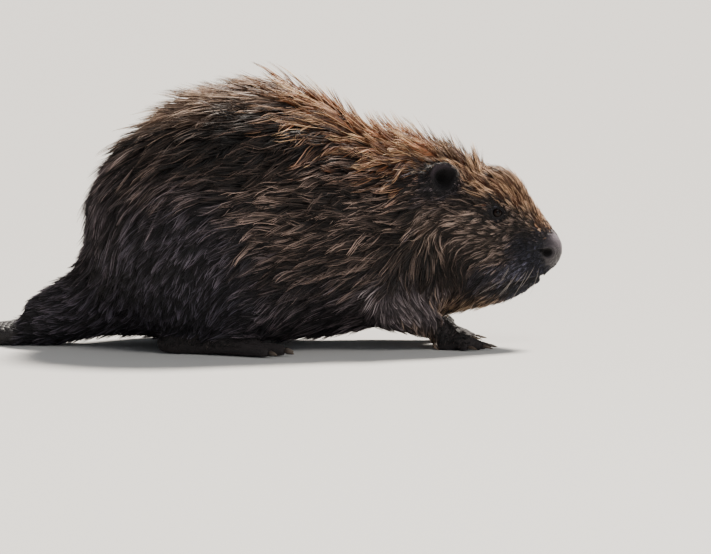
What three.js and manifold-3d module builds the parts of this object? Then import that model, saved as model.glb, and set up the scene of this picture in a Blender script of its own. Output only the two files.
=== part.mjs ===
// An adult beaver, life size, crouched on all fours with its head lowered.
// Millimetres. +X is forward, +Y is the animal's left, +Z is up, and the floor is Z = 0.
// The solids reach out to the tips of the coat. Flesh is one smooth field, built from named
// masses that melt into each other, and it is parted into head, neck, trunk and limbs by thin cuts.
import * as THREE from "three";
import Module from "manifold-3d";

const wasm = await Module();
wasm.setup();

// ---------------------------------------------------------------- driving dimensions

const NOSE_X = 277.5; // front of the nose pad
const RUMP_X = -273; // back of the rump
const BACK_Z = 309; // top of the back
const HALF_BREADTH = 142; // body's half width at the haunches
const HEAD_HALF_BREADTH = 64; // at the cheeks
const EYE_RADIUS = 6.5;
const EAR_HEIGHT = 36;
const TAIL_LENGTH = 268; // scaly paddle
const TAIL_BREADTH = 116;
const TAIL_THICKNESS = 20;
const TAIL_BEND = 30; // degrees that the tail's line turns to the left
const HIND_FOOT_LENGTH = 150; // heel to the end of the longest toe
const WRIST = { x: 134, y: 50 };
const FOREPAW_LENGTH = 56; // wrist to the end of the longest digit
const BELLY_Z = 8; // lowest hair of the belly
const SEAM = 0.35; // gap left where two parts meet

const SIDES = { right: -1, left: 1 }; // sign of Y

// ---------------------------------------------------------------- fields

// A field is a function of a point: negative inside, and near its surface about the distance in mm.

const turned = (pitch, yaw, roll) =>
  new THREE.Quaternion().setFromEuler(
    new THREE.Euler(
      THREE.MathUtils.degToRad(roll),
      -THREE.MathUtils.degToRad(pitch),
      THREE.MathUtils.degToRad(yaw),
      "ZYX",
    ),
  );

// An ellipsoid. pitch lifts its front, yaw turns its front to the left, roll lifts its left side.
function mass(centre, radii, { pitch = 0, yaw = 0, roll = 0 } = {}) {
  const inward = new THREE.Matrix4()
    .compose(new THREE.Vector3(...centre), turned(pitch, yaw, roll), new THREE.Vector3(1, 1, 1))
    .invert();
  const [rx, ry, rz] = radii;
  const q = new THREE.Vector3();
  return (p) => {
    q.copy(p).applyMatrix4(inward);
    const scaled = Math.hypot(q.x / rx, q.y / ry, q.z / rz);
    const slope = Math.hypot(q.x / rx ** 2, q.y / ry ** 2, q.z / rz ** 2);
    return slope < 1e-9 ? -Math.min(rx, ry, rz) : (scaled * (scaled - 1)) / slope;
  };
}

// A round bar from a to b whose radius runs from ra to rb.
function bar(a, b, ra, rb) {
  const from = new THREE.Vector3(...a);
  const along = new THREE.Vector3(...b).sub(from);
  const lengthSq = along.lengthSq();
  const q = new THREE.Vector3();
  return (p) => {
    q.copy(p).sub(from);
    const t = THREE.MathUtils.clamp(q.dot(along) / lengthSq, 0, 1);
    return q.addScaledVector(along, -t).length() - THREE.MathUtils.lerp(ra, rb, t);
  };
}

// Fields joined with a fillet of about k mm.
function melt(k, ...fields) {
  return (p) =>
    fields.reduce((joined, field) => {
      const value = field(p);
      const near = Math.max(k - Math.abs(joined - value), 0) / k;
      return Math.min(joined, value) - (near * near * k) / 4;
    }, 1e6);
}

// A field with another taken out of it, with a rounded rim of about k mm.
function hollowed(field, k, hollow) {
  return (p) => {
    const a = field(p);
    const b = -hollow(p);
    const near = Math.max(k - Math.abs(a - b), 0) / k;
    return Math.max(a, b) + (near * near * k) / 4;
  };
}

const bothSides = (k, make) => melt(k, make(SIDES.right), make(SIDES.left));

// ---------------------------------------------------------------- solids

// A closed solid from shared vertices and triangles.
function solidOf(vertices, triangles) {
  return new wasm.Manifold(
    new wasm.Mesh({
      numProp: 3,
      vertProperties: Float32Array.from(vertices),
      triVerts: Uint32Array.from(triangles),
    }),
  );
}

// Grids that a field is sampled on. count is the number of grid lines each way, and point puts
// grid coordinates in space.
function evenGrid([low, high], cell) {
  const count = low.map((v, n) => Math.ceil((high[n] - v) / cell) + 4);
  const start = low.map((v, n) => (v + high[n] - (count[n] - 1) * cell) / 2);
  const point = (p, i, j, k) =>
    p.set(start[0] + i * cell, start[1] + j * cell, start[2] + k * cell);
  return { low, high, count, point };
}

// Cells that shrink in step with their distance from a point ahead of the box.
function narrowingGrid([low, high], share, [vx, vz]) {
  const near = vx - high[0];
  const far = vx - low[0];
  const lines = (from, to) => Math.ceil((to - from) / near / share) + 4;
  const count = [
    Math.ceil(Math.log(far / near) / share) + 4,
    lines(low[1], high[1]),
    lines(low[2], high[2]),
  ];
  const first = { y: -((count[1] - 1) / 2) * share, z: (low[2] - vz) / near - share };
  const point = (p, i, j, k) => {
    const reach = far * Math.exp((1.5 - i) * share);
    return p.set(vx - reach, reach * (first.y + j * share), vz + reach * (first.z + k * share));
  };
  return { low, high, count, point };
}

// The closed surface of a field inside a grid's box, with one vertex in each cell that it crosses.
// Where the box cuts the field, the surface runs flat just inside the box.
function surfaceOf(field, { low, high, count, point }) {
  const centre = low.map((v, n) => (v + high[n]) / 2);
  const half = low.map((v, n) => (high[n] - v) / 2);
  const boxed = (p) =>
    Math.max(
      field(p),
      Math.abs(p.x - centre[0]) - half[0],
      Math.abs(p.y - centre[1]) - half[1],
      Math.abs(p.z - centre[2]) - half[2],
    );
  const at = (i, j, k) => i + count[0] * (j + count[1] * k);
  const p = new THREE.Vector3();
  const values = new Float64Array(count[0] * count[1] * count[2]);
  for (let k = 0; k < count[2]; k++)
    for (let j = 0; j < count[1]; j++)
      for (let i = 0; i < count[0]; i++) values[at(i, j, k)] = boxed(point(p, i, j, k)) || 1e-6;

  // The point moved along the field's slope until it lies on the surface.
  function settle(q) {
    const step = 0.05;
    for (let turn = 0; turn < 4; turn++) {
      const value = boxed(q);
      const slope = new THREE.Vector3(
        boxed(q.clone().setX(q.x + step)) - value,
        boxed(q.clone().setY(q.y + step)) - value,
        boxed(q.clone().setZ(q.z + step)) - value,
      ).divideScalar(step);
      if (slope.lengthSq() < 0.05) return;
      q.addScaledVector(slope, -value / slope.lengthSq());
    }
  }

  const corners = [0, 1, 2, 3, 4, 5, 6, 7].map((n) => [n & 1, (n >> 1) & 1, (n >> 2) & 1]);
  const steps = (a, b) => a.reduce((sum, v, n) => sum + Math.abs(v - b[n]), 0);
  const edges = corners.flatMap((a, m) =>
    corners.slice(m + 1).flatMap((b) => (steps(a, b) === 1 ? [[a, b]] : [])),
  );
  const vertices = [];
  const vertexInCell = new Map();
  function vertexOf(i, j, k) {
    const key = at(i, j, k);
    if (vertexInCell.has(key)) return vertexInCell.get(key);
    const sum = new THREE.Vector3();
    let crossings = 0;
    for (const [a, b] of edges) {
      const va = values[at(i + a[0], j + a[1], k + a[2])];
      const vb = values[at(i + b[0], j + b[1], k + b[2])];
      if (va < 0 === vb < 0) continue;
      sum.add(new THREE.Vector3(...a).lerp(new THREE.Vector3(...b), va / (va - vb)));
      crossings++;
    }
    sum.divideScalar(crossings);
    const v = point(new THREE.Vector3(), i + sum.x, j + sum.y, k + sum.z);
    const width = point(new THREE.Vector3(), i, j, k).distanceTo(
      point(new THREE.Vector3(), i, j + 1, k),
    );
    const settled = v.clone();
    settle(settled);
    if (settled.distanceTo(v) < width / 2) v.copy(settled);
    vertexInCell.set(key, vertices.length / 3);
    vertices.push(v.x, v.y, v.z);
    return vertexInCell.get(key);
  }

  const triangles = [];
  // A square of four cells' vertices, split along its shorter diagonal.
  function quad(cells, flip) {
    const ring = cells.map((cell) => vertexOf(...cell));
    if (flip) ring.reverse();
    const corner = (n) => new THREE.Vector3().fromArray(vertices, ring[n] * 3);
    if (corner(0).distanceTo(corner(2)) > corner(1).distanceTo(corner(3))) ring.push(ring.shift());
    triangles.push(ring[0], ring[1], ring[2], ring[0], ring[2], ring[3]);
  }
  for (let k = 1; k < count[2] - 1; k++)
    for (let j = 1; j < count[1] - 1; j++)
      for (let i = 1; i < count[0] - 1; i++) {
        const inside = values[at(i, j, k)] < 0;
        const crosses = (n) => values[n] < 0 !== inside;
        if (crosses(at(i + 1, j, k)))
          quad([[i, j - 1, k - 1], [i, j, k - 1], [i, j, k], [i, j - 1, k]], !inside);
        if (crosses(at(i, j + 1, k)))
          quad([[i - 1, j, k - 1], [i - 1, j, k], [i, j, k], [i, j, k - 1]], !inside);
        if (crosses(at(i, j, k + 1)))
          quad([[i - 1, j - 1, k], [i, j - 1, k], [i, j, k], [i - 1, j, k]], !inside);
      }
  return { vertices, triangles };
}

// Every vertex moved out along its normal, for the pocket that a part sits in.
function grown({ vertices, triangles }, by = SEAM) {
  const geometry = new THREE.BufferGeometry();
  geometry.setAttribute("position", new THREE.Float32BufferAttribute(vertices, 3));
  geometry.setIndex(triangles);
  geometry.computeVertexNormals();
  const normals = geometry.getAttribute("normal").array;
  return { vertices: vertices.map((v, n) => v + by * normals[n]), triangles };
}

const made = ({ vertices, triangles }) => solidOf(vertices, triangles);

// Rings of equal count joined into one closed skin, with a fan over each end ring.
function loft(rings) {
  const sides = rings[0].length;
  const vertices = rings.flat().flatMap((v) => [v.x, v.y, v.z]);
  const triangles = [];
  const vertex = (ring, side) => ring * sides + (side % sides);
  for (let ring = 0; ring + 1 < rings.length; ring++)
    for (let side = 0; side < sides; side++) {
      const [a, b] = [vertex(ring, side), vertex(ring, side + 1)];
      const [c, d] = [vertex(ring + 1, side + 1), vertex(ring + 1, side)];
      triangles.push(a, b, c, a, c, d);
    }
  for (const [ring, last] of [[0, false], [rings.length - 1, true]]) {
    const middle = vertices.length / 3;
    const centre = rings[ring]
      .reduce((sum, v) => sum.add(v), new THREE.Vector3())
      .divideScalar(sides);
    vertices.push(centre.x, centre.y, centre.z);
    for (let side = 0; side < sides; side++) {
      const [a, b] = [vertex(ring, side), vertex(ring, side + 1)];
      triangles.push(middle, ...(last ? [a, b] : [b, a]));
    }
  }
  return { vertices, triangles };
}

// A round, tapering rod along a smooth line through the points. flat squeezes it in height.
function rod(points, radii, { sides = 7, rings = 5, flat = 1 } = {}) {
  const line = new THREE.CatmullRomCurve3(points.map((v) => new THREE.Vector3(...v)));
  const sections = [];
  for (let n = 0; n < rings; n++) {
    const t = n / (rings - 1);
    const place = t * (radii.length - 1);
    const from = Math.min(Math.floor(place), radii.length - 2);
    const radius = THREE.MathUtils.lerp(radii[from], radii[from + 1], place - from);
    const centre = line.getPoint(t);
    const ahead = line.getTangent(t);
    const across = new THREE.Vector3(0, 0, 1).cross(ahead).normalize();
    const up = ahead.clone().cross(across);
    sections.push(
      Array.from({ length: sides }, (_, side) => {
        const angle = (side / sides) * 2 * Math.PI;
        return centre
          .clone()
          .addScaledVector(across, radius * Math.cos(angle))
          .addScaledVector(up, radius * flat * Math.sin(angle));
      }),
    );
  }
  return loft(sections);
}

// Vertices moved to the nearest multiple of a grain and shared. The triangles that this flattens
// are left out, together with any two that come to lie back to back.
function welded(position, index, grain = 1e-3) {
  const found = new Map();
  const vertices = [];
  const shared = [];
  for (let n = 0; n < position.length; n += 3) {
    const grains = [0, 1, 2].map((axis) => Math.round(position[n + axis] / grain));
    const key = grains.join();
    if (!found.has(key)) {
      found.set(key, vertices.length / 3);
      vertices.push(...grains.map((v) => v * grain));
    }
    shared.push(found.get(key));
  }
  const kept = new Map();
  for (let n = 0; n < index.length; n += 3) {
    const corners = [shared[index[n]], shared[index[n + 1]], shared[index[n + 2]]];
    if (new Set(corners).size < 3) continue;
    const key = [...corners].sort((a, b) => a - b).join();
    if (!kept.delete(key)) kept.set(key, corners);
  }
  return { vertices, triangles: [...kept.values()].flat() };
}

// A three.js geometry, placed, as a closed skin.
function placed(geometry, centre, { pitch = 0, yaw = 0, roll = 0, scale = [1, 1, 1] } = {}) {
  geometry.applyMatrix4(
    new THREE.Matrix4().compose(
      new THREE.Vector3(...centre),
      turned(pitch, yaw, roll),
      new THREE.Vector3(...scale),
    ),
  );
  const position = geometry.getAttribute("position");
  const index = geometry.index ? geometry.index.array : [...Array(position.count).keys()];
  return welded(position.array, index);
}

const ball = (centre, radii, { around = 10, ...options } = {}) =>
  placed(new THREE.SphereGeometry(1, around, around * 0.7), centre, { ...options, scale: radii });
const slab = (centre, size, options = {}) =>
  placed(new THREE.BoxGeometry(...size), centre, options);

// What lies beyond the plane through two points of the side view, on the side that faces along
// +X (or -X), moved on by half a seam.
function beyond(solid, [x0, z0], [x1, z1], forward) {
  const normal = new THREE.Vector3(z1 - z0, 0, x0 - x1).normalize();
  if (normal.x > 0 !== forward) normal.negate();
  const offset = normal.x * x0 + normal.z * z0 + SEAM / 2;
  return solid.trimByPlane(normal.toArray(), offset);
}

// The main body of a cut solid, without the crumbs that a cut can leave at its rim.
const mainBody = (solid) =>
  solid.decompose().reduce((kept, piece) => (piece.volume() > kept.volume() ? piece : kept));

const onTheFloor = (solid) => solid.trimByPlane([0, 0, 1], 0);

// ---------------------------------------------------------------- the body's masses

const trunkMasses = melt(
  46,
  mass([-122, 0, 144], [155, HALF_BREADTH - 10, 141], { pitch: 20 }), // loins and rump
  mass([-58, 0, 176], [136, 112, 136], { pitch: -4 }), // arch of the back
  mass([-60, 0, 92], [148, 116, 84]), // belly
  mass([36, 0, 134], [110, 96, 112], { pitch: -24 }), // chest and withers
);

const thighMass = (side) =>
  mass([-138, side * 94, 104], [90, 47, 92], { pitch: 12, yaw: side * 8 });
const kneeMass = (side) => mass([-96, side * 102, 56], [46, 34, 48], { pitch: -20 });

const shoulderMass = (side) => mass([44, side * 56, 112], [56, 42, 74], { pitch: 10 });
const forearmMass = (side) =>
  bar([64, side * 64, 56], [WRIST.x, side * (WRIST.y + 2), 27], 31, 19);

const neckMasses = melt(
  40,
  mass([94, 0, 154], [86, 79, 98], { pitch: -12 }), // nape and sides
  mass([118, 0, 84], [56, 60, 54]), // throat
);

const cheekMass = (side) =>
  mass([162, side * 22, 122], [60, HEAD_HALF_BREADTH - 22, 60], { pitch: -24 });

const headMasses = melt(
  22,
  mass([160, 0, 170], [62, 56, 56], { pitch: -20 }), // skull
  mass([194, 0, 160], [45, 44, 50], { pitch: -38 }), // brow and bridge
  bothSides(20, cheekMass),
  mass([228, 0, 124], [38, 33, 40], { pitch: -30 }), // snout
  mass([NOSE_X - 17, 0, 108], [17, 16, 19]), // nose
  mass([207, 0, 86], [46, 35, 36], { pitch: 8 }), // chin
  mass([166, 0, 82], [48, 46, 42]), // root of the jaw
);

// The tail's centre line: an arc on the floor that leaves the rump backwards and turns left.
const TAIL_START_X = -232;
const TAIL_ARC = 108 + TAIL_LENGTH;
const TAIL_RADIUS = TAIL_ARC / THREE.MathUtils.degToRad(TAIL_BEND);
function tailPlace(along) {
  const angle = along / TAIL_RADIUS;
  return {
    x: TAIL_START_X - TAIL_RADIUS * Math.sin(angle),
    y: TAIL_RADIUS * (1 - Math.cos(angle)),
    back: new THREE.Vector3(-Math.cos(angle), Math.sin(angle), 0),
    across: new THREE.Vector3(Math.sin(angle), Math.cos(angle), 0),
  };
}

const TAIL_ROOT = TAIL_ARC - TAIL_LENGTH; // along the line, where hair gives way to scales
const tailRoot = tailPlace(TAIL_ROOT);
const tailRootMass = melt(
  30,
  bar([TAIL_START_X, 0, 60], [-296, 4, 38], 54, 35),
  mass([tailRoot.x + 10, tailRoot.y, 22], [40, 36, 23], { yaw: -TAIL_BEND * 0.2 }),
);

const body = melt(
  26,
  trunkMasses,
  neckMasses,
  bothSides(10, thighMass),
  bothSides(10, kneeMass),
  bothSides(10, shoulderMass),
);
const torso = melt(30, body, tailRootMass);
const flesh = melt(24, torso, headMasses);
const fleshWithForearms = melt(12, torso, neckMasses, bothSides(10, forearmMass));

// ---------------------------------------------------------------- head details

const EYE = { x: 202, y: 42.5, z: 155.5 };
const EAR = { x: 138, y: 54, z: 195, pitch: 12, yaw: 68 };
const MOUTH = [[264, 82], [180, 63]]; // front of the lips, back towards the jaw joint
const NOSTRIL = { x: 260, y: 18.5, z: 108 };

const eyeSolid = (side) =>
  ball([EYE.x, side * EYE.y, EYE.z], [EYE_RADIUS, EYE_RADIUS, EYE_RADIUS], { roll: 90 });

// A round cup that opens outwards and forwards, its front edge sunk in the head.
function earSurface(side) {
  const reach = EAR_HEIGHT / 2;
  const profile = [
    [0, -11], [0.5, -9], [0.82, -3], [0.98, 4], [1, 9], [0.88, 11],
    [0.76, 8], [0.68, 3], [0.42, -2], [0, -4],
  ].map(([share, depth]) => new THREE.Vector2(share * reach, depth));
  const cup = new THREE.LatheGeometry(profile, 12);
  cup.rotateZ(-Math.PI / 2);
  const turn = { pitch: EAR.pitch, yaw: side * EAR.yaw };
  return placed(cup, [EAR.x, side * EAR.y, EAR.z], { ...turn, scale: [1, 1.04, 1.04] });
}

const sockets = Object.values(SIDES).map((side) =>
  ball([EYE.x, side * (EYE.y + 8), EYE.z], [11, 7, 8], { pitch: -20 }),
);
const earPits = bothSides(1, (side) =>
  mass([EAR.x + 16, side * (EAR.y + 12), EAR.z - 4], [16, 11, 17]),
);

const nostrils = Object.values(SIDES).map((side) =>
  ball([NOSTRIL.x, side * NOSTRIL.y, NOSTRIL.z], [5, 7, 4], {
    around: 8,
    pitch: -35,
    yaw: side * 30,
  }),
);

// ---------------------------------------------------------------- feet


// Each digit: how far it points out from the paw's line in degrees, and its share of the length.
const FORE_DIGITS = [[-34, 0.72], [-16, 0.92], [0, 1], [15, 0.95], [32, 0.76]];
const HIND_TOES = [[-19, 0.62], [-9, 0.8], [1, 0.95], [11, 1], [21, 0.92]];
const CLAW = { fore: { length: 13, radius: 2.5 }, hind: { length: 11, radius: 3.3 } };

const polar = (x, y, degrees, reach, z) => {
  const angle = THREE.MathUtils.degToRad(degrees);
  return [x + reach * Math.cos(angle), y + reach * Math.sin(angle), z];
};

// A hooked, tapering claw that starts just in front of the toe's tip and comes down to the floor.
function claw([x, y, z], degrees, { length, radius }) {
  const points = [0, 0.5, 1].map((t) =>
    polar(x, y, degrees, 2 * SEAM + length * t, z + (radius - z) * t * t),
  );
  return rod(points, [radius, radius * 0.86, radius * 0.16], { sides: 5, rings: 3, flat: 1.15 });
}

function forepaw(side, lead = side < 0 ? 4 : -6) {
  const wrist = [WRIST.x - 4, side * WRIST.y];
  const heading = side * 3;
  const knuckle = 26;
  const digits = FORE_DIGITS.map(([spread, share]) => {
    const degrees = heading + side * spread;
    const reach = lead + FOREPAW_LENGTH * share;
    return {
      degrees,
      tip: polar(...wrist, degrees, reach, 5),
      solid: rod(
        [
          polar(...wrist, degrees, knuckle * 0.6, 9),
          polar(...wrist, degrees, (knuckle + reach) / 2, 9),
          polar(...wrist, degrees, reach - 6, 4.8),
          polar(...wrist, degrees, reach, 4.6),
        ],
        [6.6, 5.4, 5, 4],
        { sides: 5, rings: 4 },
      ),
    };
  });
  const cuff = rod(
    [[wrist[0], wrist[1], 24], [wrist[0] + 6, wrist[1], 19], polar(...wrist, heading, 18, 12)],
    [18, 17, 14],
    { sides: 8, rings: 3, flat: 0.95 },
  );
  const palm = ball(polar(...wrist, heading, 17, 8), [22 + lead, 19, 12], {
    around: 8,
    yaw: heading,
  });
  return {
    parts: [cuff, palm, ...digits.map((d) => d.solid)],
    claws: digits.map((d) => claw(d.tip, d.degrees, CLAW.fore)),
  };
}

const HIND_HEEL = { x: -182, y: 94 };
const HIND_TURN = 8; // degrees that the foot points out

function hindFoot(side) {
  const heel = [HIND_HEEL.x, side * HIND_HEEL.y];
  const ballOfFoot = 62;
  const root = polar(...heel, side * HIND_TURN, 22, 0);
  const toes = HIND_TOES.map(([spread, share]) => {
    const degrees = side * (HIND_TURN + spread);
    const reach = (HIND_FOOT_LENGTH - 22) * share;
    return {
      degrees,
      tip: polar(root[0], root[1], degrees, reach, 6.2),
      solid: rod(
        [
          polar(root[0], root[1], degrees, ballOfFoot * 0.5, 9.5),
          polar(root[0], root[1], degrees, (ballOfFoot * 0.5 + reach) / 2, 9.5),
          polar(root[0], root[1], degrees, reach - 8, 6.6),
          polar(root[0], root[1], degrees, reach, 6.2),
        ],
        [9, 7, 6.4, 5.2],
        { sides: 5, rings: 4 },
      ),
    };
  });
  const instep = rod(
    [[0, 10], [14, 11], [44, 11.5], [78, 9], [104, 6]].map(([reach, z]) =>
      polar(...heel, side * HIND_TURN, reach, z),
    ),
    [9, 17, 19, 20, 9],
    { sides: 8, rings: 5, flat: 0.72 },
  );
  return {
    parts: [instep, web(toes, root), ...toes.map((t) => t.solid)],
    claws: toes.map((t) => claw(t.tip, t.degrees, CLAW.hind)),
  };
}

// The skin between the toes: a fan whose edge dips back between one toe and the next.
function web(toes, root) {
  const depth = 4.6;
  const edge = toes.map((t) => new THREE.Vector2(t.tip[0], t.tip[1]));
  const heel = new THREE.Vector2(root[0], root[1]);
  const inset = (v, share) => heel.clone().lerp(v, share);
  const outline = new THREE.Shape();
  outline.moveTo(heel.x, heel.y);
  outline.lineTo(...inset(edge[0], 0.9));
  for (let n = 1; n < edge.length; n++) {
    const between = inset(edge[n - 1].clone().add(edge[n]).divideScalar(2), 0.72);
    outline.quadraticCurveTo(between.x, between.y, ...inset(edge[n], 0.9));
  }
  outline.closePath();
  const sheet = new THREE.ExtrudeGeometry(outline, {
    depth,
    bevelEnabled: false,
    curveSegments: 4,
  });
  return placed(sheet, [0, 0, 1.2]);
}

// Joined parts of a foot, flat on the floor.
const footSolid = ({ parts }) => onTheFloor(wasm.Manifold.union(parts.map(made)));
const forepawSolid = (paw) => beyond(footSolid(paw), [WRIST.x, 60], [WRIST.x, 0], true);

// ---------------------------------------------------------------- parting the flesh

const SKULL_CUT = [[112, 222], [142, 34]]; // behind the ears, down to the throat
const NECK_CUT = [[60, 256], [94, 18]]; // in front of the withers, down to the chest
const TAIL_CUT = [[-278, 100], [-238, 0]]; // under the rump

const BREADTH_BOX = HALF_BREADTH + 22;
const FLESH_BOX = [
  [RUMP_X - 30, -BREADTH_BOX, BELLY_Z - 2],
  [NOSE_X + 12, BREADTH_BOX, BACK_Z + 20],
];
const VANISHING_POINT = [NOSE_X + 170, 100];
const CELL_SHARE = 0.0715; // of the distance to the vanishing point
const FORELEG_CELL = 16;

const mirrored = (make) =>
  Object.fromEntries(Object.entries(SIDES).map(([name, side]) => [name, make(side)]));

// A limb is what lies outside an inner plane and within a smooth outline in the side view.
const HIND_LEG = {
  innerY: 52,
  outline: [
    [-140, 174], [-184, 150], [-208, 84], [-200, -12], [-68, -12], [-64, 60], [-92, 138],
  ],
};
const FORELEG = {
  innerY: 26,
  outline: [
    [48, 166], [8, 140], [-8, 92], [8, 40], [36, -12], [152, -12], [146, 38], [112, 62], [84, 92],
  ],
};
const OUTLINE_STEPS = 24;

function limbRegion({ innerY, outline }, side) {
  const curve = new THREE.CatmullRomCurve3(
    outline.map(([x, z]) => new THREE.Vector3(x, 0, z)),
    true,
  );
  const around = curve.getSpacedPoints(OUTLINE_STEPS).slice(1);
  if (side > 0) around.reverse();
  const ring = (y) => around.map((v) => v.clone().setY(side * y));
  return loft([ring(innerY), ring(BREADTH_BOX + 20)]);
}
const hindRegion = mirrored((side) => limbRegion(HIND_LEG, side));
const foreRegion = mirrored((side) => limbRegion(FORELEG, side));

const feet = mirrored(hindFoot);
const paws = mirrored(forepaw);

const withoutAll = (solid, parts, gap = SEAM) =>
  parts.reduce((left, part) => left.subtract(made(grown(part, gap))), solid);

const tailRootBlock = () =>
  onTheFloor(made(surfaceOf(torso, evenGrid([[-400, -90, -6], [-200, 120, 130]], 19))));

function fleshBlock() {
  const face = hollowed(flesh, 8, earPits);
  const block = made(surfaceOf(face, narrowingGrid(FLESH_BOX, CELL_SHARE, VANISHING_POINT)));
  const underneath = [
    ...Object.values(feet).flatMap((foot) => foot.parts),
    ...Object.values(paws).map((paw) => paw.parts[0]),
  ];
  return withoutAll(block, underneath, SEAM * 2);
}

const block = fleshBlock();
const limbRegions = [...Object.values(hindRegion), ...Object.values(foreRegion)];

function trunkSolid() {
  const front = beyond(block, ...NECK_CUT, false);
  return withoutAll(beyond(front, ...TAIL_CUT, true), limbRegions);
}

function neckSolid() {
  const front = beyond(block, ...SKULL_CUT, false);
  return withoutAll(beyond(front, ...NECK_CUT, true), limbRegions);
}

function forelegSolid(name) {
  const low = [-20, SIDES[name] < 0 ? -140 : 20, BELLY_Z - 2];
  const high = [WRIST.x + 20, SIDES[name] < 0 ? -20 : 140, 180];
  const arm = made(surfaceOf(fleshWithForearms, evenGrid([low, high], FORELEG_CELL)));
  return beyond(arm.intersect(made(foreRegion[name])), [WRIST.x, 60], [WRIST.x, 0], false);
}

function tailRootSolid() {
  const back = beyond(tailRootBlock(), ...TAIL_CUT, false);
  const end = tailRoot.back.clone().negate();
  const offset = end.x * tailRoot.x + end.y * tailRoot.y + SEAM / 2;
  return back.trimByPlane(end.toArray(), offset);
}

// The jaw is what lies below the line of the mouth, and the nose is a pad at the snout's end.
const mouthPitch = THREE.MathUtils.radToDeg(
  Math.atan2(MOUTH[0][1] - MOUTH[1][1], MOUTH[0][0] - MOUTH[1][0]),
);
const NOSE_BLOCK = [[NOSE_X + 2, 0, 108], [46, 70, 36]];
const noseRegion = (by = 0) => grown(slab(...NOSE_BLOCK, { pitch: mouthPitch }), by);

function headSolids() {
  const inserts = Object.values(SIDES).flatMap((side) => [eyeSolid(side), earSurface(side)]);
  const socketed = withoutAll(beyond(block, ...SKULL_CUT, true), sockets, 0);
  const all = withoutAll(socketed, inserts, SEAM * 2.5);
  const across = new THREE.Vector3(MOUTH[0][1] - MOUTH[1][1], 0, MOUTH[1][0] - MOUTH[0][0]);
  across.normalize();
  const level = across.x * MOUTH[0][0] + across.z * MOUTH[0][1];
  const jaw = all.trimByPlane(across.toArray(), level + SEAM / 2);
  const upper = all.trimByPlane(across.clone().negate().toArray(), -level + SEAM / 2);
  const nose = upper.intersect(made(noseRegion()));
  return {
    jaw,
    head: withoutAll(upper, [noseRegion()], SEAM * 1.8),
    nose: withoutAll(nose, nostrils, 0),
  };
}

// ---------------------------------------------------------------- tail

// A flat paddle, widest past its middle, thick along its line and thin at its edges.
function tailSolid() {
  const sections = 11;
  const sides = 16;
  const rings = [];
  for (let n = 0; n < sections; n++) {
    const share = n / (sections - 1);
    const along = TAIL_ROOT + SEAM / 2 + (TAIL_LENGTH - SEAM) * Math.sin((share * Math.PI) / 2);
    const t = (along - TAIL_ROOT) / TAIL_LENGTH;
    const rootShare = 0.5 * (1 - t) ** 2.2;
    const roundEnd = Math.sqrt(Math.max(1 - (Math.max(t - 0.62, 0) / 0.38) ** 2, 0.0016));
    const widening = 1 - rootShare;
    const halfBreadth = (TAIL_BREADTH / 2) * widening * roundEnd;
    const halfDepth =
      (TAIL_THICKNESS / 2) * (1 + 0.55 * (1 - t) ** 3 - 0.35 * t) * Math.sqrt(roundEnd);
    const place = tailPlace(along);
    rings.push(
      Array.from({ length: sides }, (_, side) => {
        const angle = (side / sides) * 2 * Math.PI;
        const out = Math.cos(angle) * halfBreadth;
        const height = Math.sign(Math.sin(angle)) * Math.abs(Math.sin(angle)) ** 0.9 * halfDepth;
        return new THREE.Vector3(place.x, place.y, halfDepth * 0.82 + height).addScaledVector(
          place.across,
          -out,
        );
      }),
    );
  }
  return onTheFloor(made(loft(rings)));
}

// ---------------------------------------------------------------- the model

const material = (color, roughness, metalness = 0) =>
  new THREE.MeshStandardMaterial({ color, roughness, metalness });
const MATERIALS = {
  back_fur: material(0x6b4a33, 0.85),
  flank_fur: material(0x3c2d25, 0.85),
  haunch_fur: material(0x29211e, 0.88),
  head_fur: material(0x6e4c34, 0.85),
  muzzle_fur: material(0x332b29, 0.8),
  ear_skin: material(0x1c1615, 0.75),
  nose_skin: material(0x26211f, 0.5),
  eye: material(0x0b0706, 0.08),
  foot_skin: material(0x2b2522, 0.65),
  tail_scales: material(0x332e2b, 0.6),
  claw: material(0x1d1917, 0.4),
};

const model = new THREE.Group();

function add(name, finish, solid) {
  const { numProp, vertProperties, triVerts } = mainBody(solid).getMesh();
  const position = vertProperties.filter((_, n) => n % numProp < 3);
  const { vertices, triangles } = welded(position, triVerts, 0.02);
  const geometry = new THREE.BufferGeometry();
  geometry.setAttribute("position", new THREE.Float32BufferAttribute(vertices, 3));
  geometry.setIndex(triangles);
  const mesh = new THREE.Mesh(geometry, MATERIALS[finish]);
  mesh.name = name;
  model.add(mesh);
}

const { head, jaw, nose } = headSolids();
add("head", "head_fur", head);
add("jaw", "muzzle_fur", jaw);
add("nose", "nose_skin", nose);
add("neck", "back_fur", neckSolid());
add("trunk", "back_fur", trunkSolid());
add("tail_root", "haunch_fur", tailRootSolid());
add("tail", "tail_scales", tailSolid());

for (const [name, side] of Object.entries(SIDES)) {
  add(`eye_${name}`, "eye", made(eyeSolid(side)));
  add(`ear_${name}`, "ear_skin", made(earSurface(side)));
  add(`hind_leg_${name}`, "haunch_fur", block.intersect(made(hindRegion[name])));
  add(`foreleg_${name}`, "flank_fur", forelegSolid(name));
  add(`hind_foot_${name}`, "foot_skin", footSolid(feet[name]));
  feet[name].claws.forEach((c, n) => add(`hind_claw_${name}_${n + 1}`, "claw", onTheFloor(made(c))));
  add(`forepaw_${name}`, "foot_skin", forepawSolid(paws[name]));
  paws[name].claws.forEach((c, n) => add(`fore_claw_${name}_${n + 1}`, "claw", onTheFloor(made(c))));
}

const box = new THREE.Box3().setFromObject(model);
const centre = box.getCenter(new THREE.Vector3());
model.position.set(-centre.x, -centre.y, 0);

export default model;
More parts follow.
